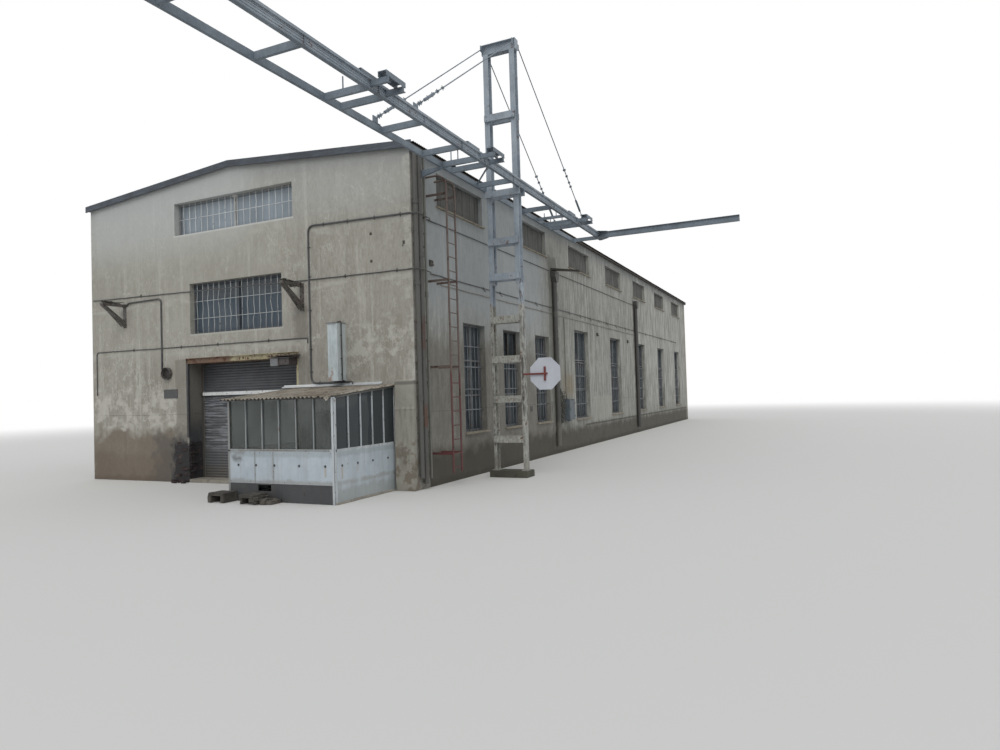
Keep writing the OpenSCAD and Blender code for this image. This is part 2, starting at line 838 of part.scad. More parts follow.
// Conduits and cables fixed to the front wall
module front_runs() {
    bend = 150;
    under_duct = 2295;
    c = conduit_d;
    k = cable_d;
    union() {
        run([
            on_front(0, side_cable_z, c), on_front(2500, side_cable_z + 60, c),
            on_front(2680, side_cable_z - 60, c), on_front(2680, under_duct + 75, c),
            on_front(2600, under_duct, c), on_front(1640, under_duct, c)
        ], c);
        run([on_front(0, side_pipe_z, k), on_front(2660, side_pipe_z + 20, k)], k);
        run([on_front(2700, side_pipe_z + 20, k), on_front(hall_w - 70, side_pipe_z + 140, k)], k);
        run([on_front(2760, low_cable_z - 10, k), on_front(drop_x - 30, low_cable_z, k)], k);
        run([
            on_front(drop_x + 30, low_cable_z, k), on_front(hall_w - 260, low_cable_z + 10, k),
            on_front(hall_w - 180, low_cable_z - 70, k), on_front(hall_w - 180, 2200, k)
        ], k);
        run([
            on_front(hall_w - bracket_far - bracket_w / 2 - 20, side_pipe_z - 100, c),
            on_front(drop_x + 100, side_pipe_z - 10, c),
            on_front(drop_x, side_pipe_z - bend, c), on_front(drop_x, vent_z + 100, c)
        ], c);
    }
}

// Cable and pipes along the side wall
module side_runs() {
    c = conduit_d;
    k = cable_d;
    far = hall_l - bay_rear;
    union() {
        run([on_side(0, side_cable_z, k), on_side(downpipe_a - 260, side_cable_z - 10, k)], k);
        run([on_side(downpipe_a + 260, side_cable_z - 10, k), on_side(downpipe_b - 120, side_cable_z, k)], k);
        for (z = [side_pipe_z, side_pipe_z - side_pipe_gap]) {
            run([on_side(ladder_y + 325, z, k), on_side(downpipe_a - downpipe_d, z, k)], k);
            run([on_side(downpipe_a + downpipe_d, z, k), on_side(downpipe_b - 120, z, k)], k);
        }
        run([
            on_side(cabinet_y, cabinet_z + cabinet_h + seat, c),
            on_side(cabinet_y, side_pipe_z - side_pipe_gap - 60, c)
        ], c);
        run([on_side(downpipe_b + 120, side_pipe_z, k), on_side(far, side_pipe_z, k)], k);
    }
}

module wall_conduits() {
    color("#3a3836") {
        front_runs();
        side_runs();
    }
}

// Triangular bracket with its wall plate, standing out of the front wall
module wall_bracket(x) {
    t = 12;
    z1 = side_pipe_z - 60;
    y1 = front_y - seat;
    tip = y1 - bracket_out;
    translate([half_w - x - bracket_w / 2, 0, 0]) union() {
        block([0, y1 - t, z1 - bracket_drop - 80], [bracket_w, y1, z1 + 20]);
        block([0, tip, z1 - 60], [bracket_w, y1 - t / 2, z1]);
        along_x(0, bracket_w) polygon([
            [tip, z1 - 60], [tip + 90, z1 - 60], [y1 - t / 2, z1 - bracket_drop + 60],
            [y1 - t / 2, z1 - bracket_drop - 30]
        ]);
    }
}

// Two brackets on the front wall and the sloping arm on the side wall
module wall_brackets() {
    arm_l = 960;
    arm_w = 240;
    z = side_cable_z + 60;
    x1 = half_w + seat;
    color("#5c5148") union() {
        wall_bracket(bracket_near);
        wall_bracket(hall_w - bracket_far);
        along_y(front_y + downpipe_a - arm_w / 2, front_y + downpipe_a + arm_w / 2) polygon([
            [x1, z + 40], [x1, z - 30], [x1 + 30, z - 30], [x1 + arm_l, z - 150], [x1 + arm_l, z - 120]
        ]);
    }
}

// Round vent housing on the front wall beside the doorway
module wall_vent() {
    depth = 90;
    wall = 14;
    color("#4f4c48") translate([half_w - vent_x, front_y - seat, vent_z]) rotate([90, 0, 0]) difference() {
        cylinder(h = depth, d = vent_d);
        translate([0, 0, wall]) cylinder(h = depth, d = vent_d - 2 * wall);
    }
}

// Vertical pipes at the front corner: place behind the front wall's face, share of the diameter, foot
corner_pipe_at = [[62, 1.1, 250], [212, 1.25, 120], [470, 0.58, 200]];

// Each pipe stands off the side wall on its clips
module corner_pipes() {
    off = 30;
    clip_h = 40;
    clip_w = 24;
    x0 = half_w + seat;
    color("#55504b") for (p = corner_pipe_at) {
        d = corner_pipe_d * p[1];
        y = front_y + p[0];
        union() {
            translate([x0 + off + d / 2, y, p[2]]) cylinder(h = eave_h - 40 - p[2], d = d);
            for (z = [1150, 3100, 5100])
                block([x0, y - clip_w / 2, z], [x0 + off + d / 2, y + clip_w / 2, z + clip_h]);
        }
    }
}

// Downpipe with its hopper head
module downpipe(y, top, foot) {
    head_w = 320;
    head_h = 330;
    d = downpipe_d;
    at = on_side(y, 0, d);
    union() {
        rod(on_side(y, foot, d), on_side(y, top - head_h / 2, d), d);
        along_x(half_w + seat, half_w + seat + d + 30) polygon([
            [at[1] - d / 2, top - head_h], [at[1] + d / 2, top - head_h],
            [at[1] + head_w / 2, top - head_h / 2], [at[1] + head_w / 2, top],
            [at[1] - head_w / 2, top], [at[1] - head_w / 2, top - head_h / 2]
        ]);
    }
}

module downpipes() {
    color("#4a4541") union() {
        downpipe(downpipe_a, side_cable_z - 20, 250);
        downpipe(downpipe_b, side_cable_z + 180, 250);
    }
}

// Steel cabinet on the side wall with its raised door
module wall_cabinet() {
    y0 = front_y + cabinet_y - cabinet_w / 2;
    x0 = half_w + seat;
    door_t = 12;
    color("#97a4ab") union() {
        block([x0, y0, cabinet_z], [x0 + cabinet_d, y0 + cabinet_w, cabinet_z + cabinet_h]);
        block(
            [x0 + cabinet_d, y0 + 20, cabinet_z + 20],
            [x0 + cabinet_d + door_t, y0 + cabinet_w - 20, cabinet_z + cabinet_h - 20]
        );
    }
}

// Ladder places
ladder_x = half_w + ladder_out;
ladder_mid = front_y + ladder_y;

// Stiles of the access ladder, bent over to the wall under the eaves
module ladder_stiles() {
    for (s = [-1, 1]) translate([ladder_x, ladder_mid + s * ladder_w / 2, 0]) union() {
        translate([0, 0, ladder_foot]) cylinder(h = ladder_top - ladder_foot, d = stile_d);
        translate([-ladder_bend, 0, ladder_top]) rotate([90, 0, 0])
            rotate_extrude(angle = 90) translate([ladder_bend, 0]) circle(d = stile_d);
        translate([-ladder_bend, 0, ladder_top + ladder_bend]) rotate([0, -90, 0])
            cylinder(h = ladder_out - ladder_bend - seat, d = stile_d);
    }
}

// Rungs welded between the stiles
module ladder_rungs() {
    first = ladder_foot + 100;
    count = floor((ladder_top - first) / rung_pitch);
    half = ladder_w / 2 - stile_d / 2 - seat;
    for (i = [0:count]) rod(
        [ladder_x, ladder_mid - half, first + i * rung_pitch],
        [ladder_x, ladder_mid + half, first + i * rung_pitch], rung_d
    );
}

// Flat bars between the side wall and the ladder
module ladder_brackets() {
    bar_h = 50;
    bar_t = 12;
    x0 = half_w + seat;
    for (i = [0:3]) for (s = [-1, 1])
        translate([x0, ladder_mid + s * ladder_w / 2 - bar_t / 2, ladder_tie + i * ladder_tie_pitch])
            cube([ladder_out - stile_d / 2 - 2 * seat, bar_t, bar_h]);
}

module ladder() {
    color("#7b4a3e") {
        ladder_stiles();
        ladder_rungs();
        ladder_brackets();
    }
}

// Pylon places, its outer faces against the bridge's beams
py = front_y + pylon_y;
inner_x = half_w + pylon_in;
outer_x = inner_x + pylon_w;
leg_top = pylon_h - cap_h;

module pylon_plinth() {
    side = leg_d / 2 + batten_b + plinth_margin;
    color("#8a867e") block(
        [inner_x - plinth_margin, py - side, 0], [outer_x + plinth_margin, py + side, plinth_h]
    );
}

// Leg on its foot plate: a channel with its toes inwards, and an I section above the splice
module pylon_leg() {
    foot_t = 20;
    foot_out = 40;
    foot_z = plinth_h + seat;
    translate([inner_x, py, 0]) union() {
        translate([-foot_out, -leg_d / 2 - foot_out, foot_z]) cube([leg_w + 2 * foot_out, leg_d + 2 * foot_out, foot_t]);
        translate([0, 0, foot_z]) linear_extrude(splice_z - foot_z) channel_outline(leg_d, leg_w, 10, 12);
        translate([leg_top_w / 2, 0, splice_z]) linear_extrude(leg_top - splice_z - seat)
            i_outline(leg_d, leg_top_w, 10, 12);
        translate([0, -leg_d / 2, splice_z - 10]) cube([leg_top_w, leg_d, 20]);
    }
}

module pylon_legs() {
    middle = inner_x + pylon_w / 2;
    color("#8f959b") {
        pylon_leg();
        translate([2 * middle, 0, 0]) mirror([1, 0, 0]) pylon_leg();
    }
}

// Channel batten across both faces of the legs, its web outwards
module batten(z, h, out) {
    for (s = [0, 1]) translate([0, py, z]) mirror([0, s, 0])
        along_x(inner_x - out, outer_x + out)
            translate([-leg_d / 2 - seat - batten_b, 0]) channel_outline(h, batten_b, 8, 8);
}

// Battens of the pylon, with the pair that carries the bridge
module pylon_battens() {
    inset = -15;
    pair_h = 150;
    color("#858b92") {
        for (i = [0:batten_count - 1]) batten(batten_first + i * batten_pitch, batten_h, 2 * inset);
        for (i = [0, 1]) batten(upper_first + i * upper_pitch, batten_h, inset);
        batten(beam_low - seat - pair_h / 2, pair_h, outer_b);
        batten(batten_top_z, batten_h, inset);
    }
}

// Cap beam of I section with stiffened ends, on top of the legs
module pylon_cap() {
    x0 = inner_x - cap_out;
    x1 = outer_x + cap_out;
    z = leg_top + cap_h / 2;
    end_t = 12;
    color("#8f959b") union() {
        along_x(x0, x1) translate([py, z]) i_outline(cap_h, leg_d, 10, 12);
        for (x = [x0, x1 - end_t])
            block([x, py - leg_d / 2, leg_top], [x + end_t, py + leg_d / 2, pylon_h]);
    }
}

// Bridge places
bridge_y0 = front_y - bridge_front;
bridge_y1 = front_y + bridge_rear;
beam_low = beam_top - outer_h;
inner_top = beam_low + inner_h;
cross_top = inner_top - 2;
arm_h = 90;
arm_top = beam_top - 45;
arm_x = outer_x + outer_b + arm_out;

// Middles of the saddle pairs, the pads and the single cross members behind the front wall's face
pair_at = [-3200, 620, 6800];
pad_at = [-3410, 120, 6240];
single_at = [-6530, -4945, -1800, -380, 2110, 4750, 8950];

// Inner beam, its web towards the outer one
module inner_beam() {
    color("#5d6670") along_y(bridge_y0, bridge_y1)
        translate([inner_x - seat, beam_low + inner_h / 2]) mirror([1, 0])
            channel_outline(inner_h, inner_b, beam_web, beam_flange);
}

module outer_beam() {
    color("#4d565f") along_y(bridge_y0, bridge_y1)
        translate([outer_x + seat, beam_top - outer_h / 2])
            channel_outline(outer_h, outer_b, beam_web, beam_flange);
}

// Channel member across the bridge at a distance behind the front wall's face
module member(y, x0, x1, top, h) {
    along_x(x0, x1) translate([front_y + y - cross_b / 2, top - h / 2]) channel_outline(h, cross_b, 8, 8);
}

// Cross members between the beams' webs, small posts on them and the flat diagonal
module cross_members() {
    post = 24;
    flat = 60;
    a = front_y + single_at[4] - cross_b - 20;
    b = front_y + pair_at[1] + pair_gap / 2 + cross_b + 20;
    color("#59616a") {
        for (y = single_at) member(y, inner_x, outer_x, cross_top, cross_h);
        for (y = pair_at) for (s = [-1, 1]) member(y + s * pair_gap / 2, inner_x, outer_x, cross_top, cross_h);
        for (p = [[pair_at[0], 450], [pair_at[1], 600], [pair_at[1], 440]])
            translate([outer_x - p[1], front_y + p[0] - pair_gap / 2 - cross_b / 2 + 4, cross_top + seat])
                cylinder(h = 190, d = post);
        translate([0, 0, cross_top - cross_h / 2]) linear_extrude(12)
            polygon([[inner_x, a - flat], [inner_x, a], [outer_x, b + flat], [outer_x, b]]);
    }
}

// Arms on the outer beam's web that carry the saddles
module saddle_arms() {
    for (y = pair_at) for (s = [-1, 1])
        member(y + s * pair_gap / 2, outer_x + beam_web + 2 * seat, arm_x, arm_top, arm_h);
}

// Channel with its web on top, along Y, on a seat at zero
module capped(x, y, z, w, h, t, l) {
    along_y(y - l / 2, y + l / 2) translate([x, z]) difference() {
        square([w, h]);
        translate([t, -1]) square([w - 2 * t, h - t + 1]);
    }
}

// Saddles on their arms and pads on the outer beam
module saddles() {
    color("#545b63") {
        saddle_arms();
        for (y = pair_at) capped(arm_x - 20 - saddle_w, front_y + y, arm_top + seat, saddle_w, saddle_h, 10, saddle_l);
        for (y = pad_at) capped(outer_x + seat, front_y + y, beam_top + seat, outer_b, pad_h, 8, pad_l);
    }
}

// Conduits along the outer beam, one through the pads and one on the flange edges
module bridge_conduits() {
    d = tray_pipe_d;
    e = d - 8;
    x = outer_x + outer_b - 10 - d / 2;
    edge = outer_x + outer_b + 2 * seat + e / 2;
    z = arm_top + seat + e / 2;
    color("#7d858c") {
        rod([x, bridge_y0 + 60, beam_top + seat + d / 2], [x, bridge_y1 - 60, beam_top + seat + d / 2], d);
        rod([edge, bridge_y0 + 60, z], [edge, bridge_y1 - 60, z], e);
    }
}

// Wall bracket that ties the inner beam to the hall's corner
module bridge_bracket() {
    plate = 60;
    drop = 150;
    top = beam_low - seat;
    y = front_y + (corner_pipe_at[1][0] + corner_pipe_at[2][0]) / 2 - plate / 2;
    color("#555d66") along_y(y, y + plate) polygon([
        [half_w + seat, top], [inner_x - seat, top], [inner_x - seat, top - 40],
        [half_w + 60, top - drop], [half_w + seat, top - drop]
    ]);
}

// Branch of I section from the outer beam's rear end
module branch_beam() {
    y = front_y + single_at[6] - 150;
    x = outer_x + outer_b + 2 * seat;
    color("#4d4946") along_x(x, x + branch_l)
        translate([y, beam_top - outer_h / 2]) i_outline(outer_h, 100, 8, 11);
}

// Stay rod with its turnbuckle and the plates at both ends
module stay(x_low, y_low, z_low, x_top, side) {
    lug = 150;
    t = 16;
    top_y = py + side * (leg_d / 2 + seat);
    z_top = leg_top + cap_h / 2;
    a = [x_low, y_low, z_low + 90];
    b = [x_top, top_y + side * 60, z_top];
    v = (b - a) / norm(b - a);
    union() {
        rod(a, b, stay_d);
        rod(a + v * 380, a + v * (380 + buckle_l), stay_d * 2.4);
        block([x_low - t / 2, y_low - lug / 2, z_low + seat], [x_low + t / 2, y_low + lug / 2, z_low + 130]);
        translate([x_top - t / 2, min(top_y, top_y + side * 120), z_top - 70]) cube([t, 120, 140]);
    }
}

// Four stays from the pylon's cap to the beams
module stays() {
    x_in = inner_x - inner_b / 2;
    x_out = outer_x + 10;
    lug_in = 30;
    cap_in = inner_x - cap_out + lug_in;
    cap_o = outer_x + cap_out - lug_in;
    color("#4c5258") {
        for (x = [[x_in, inner_top, cap_in], [x_out, beam_top, cap_o]]) {
            stay(x[0], front_y - stay_front, x[1], x[2], -1);
            stay(x[0], front_y + stay_rear, x[1], x[2], 1);
        }
    }
}

// Blank octagonal plate beside the outer leg
sign_x = outer_x + sign_out;
sign_y = py - leg_d / 2;
module blank_plate() {
    plate_t = 6;
    color("#c8ccce") translate([sign_x, sign_y + plate_t, sign_z]) rotate([90, 22.5, 0])
        linear_extrude(plate_t) circle(d = sign_w / cos(22.5), $fn = 8);
}

// Arm and cross bar that hold the blank plate
module plate_bracket() {
    bar = 40;
    color("#7a2f2c") union() {
        block([outer_x + seat, sign_y - seat - bar, sign_z - bar / 2], [sign_x + 60, sign_y - seat, sign_z + bar / 2]);
        block([sign_x - bar / 2, sign_y - seat - bar, sign_z - 160], [sign_x + bar / 2, sign_y - seat, sign_z + 160]);
    }
}

floor_slab();
front_wall();
rear_wall();
right_wall();
left_wall();
roof_deck();
roof_sheets();
verge_boards();
window_frames();
window_glass();
window_sills();
door_lintel();
roller_shutter();
shutter_guides();
door_canopy();
annex_floor();
annex_skirting();
annex_panels();
annex_frame();
annex_glazing();
annex_roof();
annex_flashing();
annex_steps();
duct_box();
wall_conduits();
wall_brackets();
wall_vent();
corner_pipes();
downpipes();
wall_cabinet();
ladder();
pylon_plinth();
pylon_legs();
pylon_battens();
pylon_cap();
inner_beam();
outer_beam();
cross_members();
saddles();
bridge_conduits();
bridge_bracket();
branch_beam();
stays();
blank_plate();
plate_bracket();
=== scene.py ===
"""Visual model of a plastered brick factory hall with its glazed annex, pylon and pipe bridge.

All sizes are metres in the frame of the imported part: +Z up, the gable front faces -Y and the
long wall beside the bridge faces +X.
"""

import json
import logging
import math
import random
from dataclasses import dataclass, field
from enum import Enum
from typing import Any, Iterable, Mapping, Sequence

import bpy
from mathutils import Matrix, Vector

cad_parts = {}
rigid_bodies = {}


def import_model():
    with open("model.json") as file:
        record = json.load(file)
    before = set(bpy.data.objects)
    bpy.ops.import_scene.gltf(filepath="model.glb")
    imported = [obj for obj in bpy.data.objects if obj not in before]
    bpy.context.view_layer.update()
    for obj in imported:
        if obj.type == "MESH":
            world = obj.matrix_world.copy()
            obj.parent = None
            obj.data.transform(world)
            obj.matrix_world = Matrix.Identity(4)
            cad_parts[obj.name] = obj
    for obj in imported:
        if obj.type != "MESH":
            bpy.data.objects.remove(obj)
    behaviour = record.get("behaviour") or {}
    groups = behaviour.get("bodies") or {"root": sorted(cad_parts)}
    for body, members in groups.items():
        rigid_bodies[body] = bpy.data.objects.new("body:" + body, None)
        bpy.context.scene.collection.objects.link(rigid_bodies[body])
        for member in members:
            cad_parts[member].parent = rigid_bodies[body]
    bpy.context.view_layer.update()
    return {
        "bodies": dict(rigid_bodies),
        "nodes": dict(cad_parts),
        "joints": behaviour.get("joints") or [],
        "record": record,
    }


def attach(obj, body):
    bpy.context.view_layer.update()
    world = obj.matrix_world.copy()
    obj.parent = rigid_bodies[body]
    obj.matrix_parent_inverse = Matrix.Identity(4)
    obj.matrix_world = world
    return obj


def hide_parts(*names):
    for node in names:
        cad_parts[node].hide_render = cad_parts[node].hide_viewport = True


Point = Sequence[float]

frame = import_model()
LOG = logging.getLogger("factory")
MADE: dict[str, bpy.types.Material] = {}

FRONT_Y = -16.0  # face of the front gable wall
SIDE_X = 5.0  # face of the long wall beside the bridge
SEAT = 0.0003  # gap between a piece and what carries it


def linear(code: str) -> tuple[float, float, float, float]:
    """Turns an sRGB hex colour to linear.

    Args:
        code: Hex colour such as #a39b8c.

    Returns:
        Linear red, green and blue, with an alpha of 1.
    """
    parts = [int(code[i:i + 2], 16) / 255 for i in (1, 3, 5)]
    r, g, b = [p / 12.92 if p <= 0.04045 else ((p + 0.055) / 1.055) ** 2.4 for p in parts]
    return r, g, b, 1.0


@dataclass(frozen=True)
class Stain:
    """Mark on a surface: its reach along an axis and in height, its colour and how its edges run.

    soft, ragged and grain shape the edges, spots and flow break the mark up, and crisp is the
    softness along the axis of a mark that ends at a corner.
    """

    along: tuple[float, float]
    height: tuple[float, float]
    colour: str
    amount: float = 0.7
    soft: float = 0.15
    ragged: float = 0.1
    grain: float = 0.35
    spots: float = 0.0
    flow: tuple[float, float, float] = (1, 1, 1)
    crisp: float = 0.0
    axis: str = "X"


def along_y(*rows: Sequence[Any]) -> tuple[Stain, ...]:
    """Makes stains that reach along Y from rows of their values."""
    return tuple(Stain(*row, axis="Y") for row in rows)


class Tree:
    """Node tree of a material or of the world."""

    def __init__(self, tree: bpy.types.NodeTree) -> None:
        """Takes a tree and empties it."""
        self.tree = tree
        self.tree.nodes.clear()

    def add(self, kind: str, inputs: Mapping[int | str, Any] | None = None, out: int | str = 0,
            **settings: Any) -> bpy.types.NodeSocket:
        """Adds a node with its settings and links.

        Args:
            kind: Node type without its ShaderNode prefix.
            inputs: Values or sockets by input name or index.
            out: Output to return.
            **settings: Properties of the node.

        Returns:
            The chosen output socket.
        """
        node = self.tree.nodes.new("ShaderNode" + kind)
        for key, value in settings.items():
            setattr(node, key, value)
        for key, value in (inputs or {}).items():
            if isinstance(value, bpy.types.NodeSocket):
                self.tree.links.new(value, node.inputs[key])
            else:
                node.inputs[key].default_value = value
        return node.outputs[out] if len(node.outputs) else node


class Graph(Tree):
    """Node tree of one material, in the object's own metres."""

    def __init__(self, name: str) -> None:
        """Starts an empty material.

        Args:
            name: Name of the material.
        """
        self.material = bpy.data.materials.new(name)
        self.material.use_nodes = True
        super().__init__(self.material.node_tree)
        self.place = self.add("TexCoord", out="Object")
        self.axes = {a: self.add("SeparateXYZ", {0: self.place}, out=a) for a in "XYZ"}

    def mottle(self, size: float, low: float = 0.45, high: float = 0.6, stretch: Point = (1, 1, 1),
               detail: float = 5.0, rough: float = 0.6, seed: float = 0.0,
               top: float = 1.0) -> bpy.types.NodeSocket:
        """Mask of clouds, blotches or streaks.

        Args:
            size: Metres across a blotch.
            low: Noise value at which the mask starts.
            high: Noise value at which it is full.
            stretch: Frequency along each axis, small for a long streak.
            detail: Octaves of the noise.
            rough: Weight of the finer octaves.
            seed: Shift that gives another pattern.
            top: Value of a full mask.

        Returns:
            Mask socket.
        """
        where = self.add("Mapping", {"Vector": self.place, "Location": (seed, seed * 1.7, seed * 0.6),
                                     "Scale": [s / size for s in stretch]})
        cloud = self.add("TexNoise", {"Vector": where, "Scale": 1.0, "Detail": detail, "Roughness": rough})
        return self.add("MapRange", {"Value": cloud, "From Min": low, "From Max": high, "To Max": top})

    def band(self, axis: str, low: float, high: float, soft: float = 0.1, ragged: float = 0.0,
             grain: float = 0.5, seed: float = 3.0) -> bpy.types.NodeSocket:
        """Mask between two places along an axis.

        Args:
            axis: X, Y or Z.
            low: Lower end in metres.
            high: Upper end in metres.
            soft: Half width of the soft ends.
            ragged: How far the ends wander.
            grain: Size of that wandering.
            seed: Shift of its pattern.

        Returns:
            Mask socket.
        """
        value = self.axes[axis]
        if ragged:
            cloud = self.mottle(grain, 0.0, 1.0, detail=3, seed=seed)
            value = self.add("Math", {0: cloud, 1: 4 * ragged, 2: value}, operation="MULTIPLY_ADD")
            low, high = low + 2 * ragged, high + 2 * ragged
        ends = [self.add("MapRange", {"Value": value, "From Min": end - soft, "From Max": end + soft,
                                      "To Min": start, "To Max": 1.0 - start}, interpolation_type="SMOOTHSTEP")
                for end, start in ((low, 0.0), (high, 1.0))]
        return self.add("Math", {0: ends[0], 1: ends[1]}, operation="MULTIPLY")

    def coats(self, base: Any, layers: Iterable[Sequence[Any]]) -> bpy.types.NodeSocket:
        """Lays colours over a base, each by the product of its masks.

        Args:
            base: Hex colour or socket.
            layers: Sequences of one or more masks or numbers, and a hex colour or socket last.

        Returns:
            Colour socket.
        """
        ink = [linear(base) if isinstance(base, str) else base]
        for *masks, coat in layers:
            mask = masks[0]
            for other in masks[1:]:
                mask = self.add("Math", {0: mask, 1: other}, operation="MULTIPLY")
            ink.append(self.add("Mix", {0: mask, 6: ink[-1], 7: linear(coat) if isinstance(coat, str) else coat},
                                out=2, data_type="RGBA"))
        return ink[-1]

    def marks(self, stains: Iterable[Stain], seen: Any = 1.0, seed: float = 12.0) -> list[Sequence[Any]]:
        """Turns stains into layers for coats.

        Args:
            stains: The stains, in the order they were made.
            seen: Mask of the faces that carry them.
            seed: Shift of their patterns.

        Returns:
            Layers of masks and a colour.
        """
        layers: list[Sequence[Any]] = []
        for i, s in enumerate(stains):
            ragged = 0.0 if s.crisp else s.ragged
            masks = [self.band(s.axis, *s.along, s.crisp or s.soft, ragged, s.grain, seed=seed + i),
                     self.band("Z", *s.height, s.soft, s.ragged, s.grain, seed=seed + 18 + i), seen, s.amount]
            if s.spots:
                masks.append(self.mottle(s.spots, 0.47, 0.57, s.flow, seed=seed + 7 + i))
            layers.append((*masks, s.colour))
        return layers

    def relief(self, heights: Iterable[tuple[bpy.types.NodeSocket, float]]) -> bpy.types.NodeSocket:
        """Chains bumps into one normal.

        Args:
            heights: Height sockets with their depths in metres, negative for a hollow.

        Returns:
            Normal socket.
        """
        normal: dict[str, Any] = {}
        for height, depth in heights:
            normal = {"Normal": self.add("Bump", {"Height": height, "Distance": abs(depth), **normal},
                                         invert=depth < 0)}
        return normal["Normal"]

    def surface(self, inputs: Mapping[str, Any]) -> bpy.types.Material:
        """Closes the tree with its shader's values and sockets, and returns the material."""
        shader = self.add("BsdfPrincipled", inputs)
        self.add("OutputMaterial", {"Surface": shader})
        return self.material


@dataclass(frozen=True)
class Finish:
    """A real material with the way its surface was made."""

    name: str

    def material(self) -> bpy.types.Material:
        """Builds the material once and returns it."""
        if self.name not in MADE:
            MADE[self.name] = self.build(Graph(self.name))
        return MADE[self.name]

    def build(self, g: Graph) -> bpy.types.Material:
        """Fills the empty tree g and returns its material."""
        raise NotImplementedError


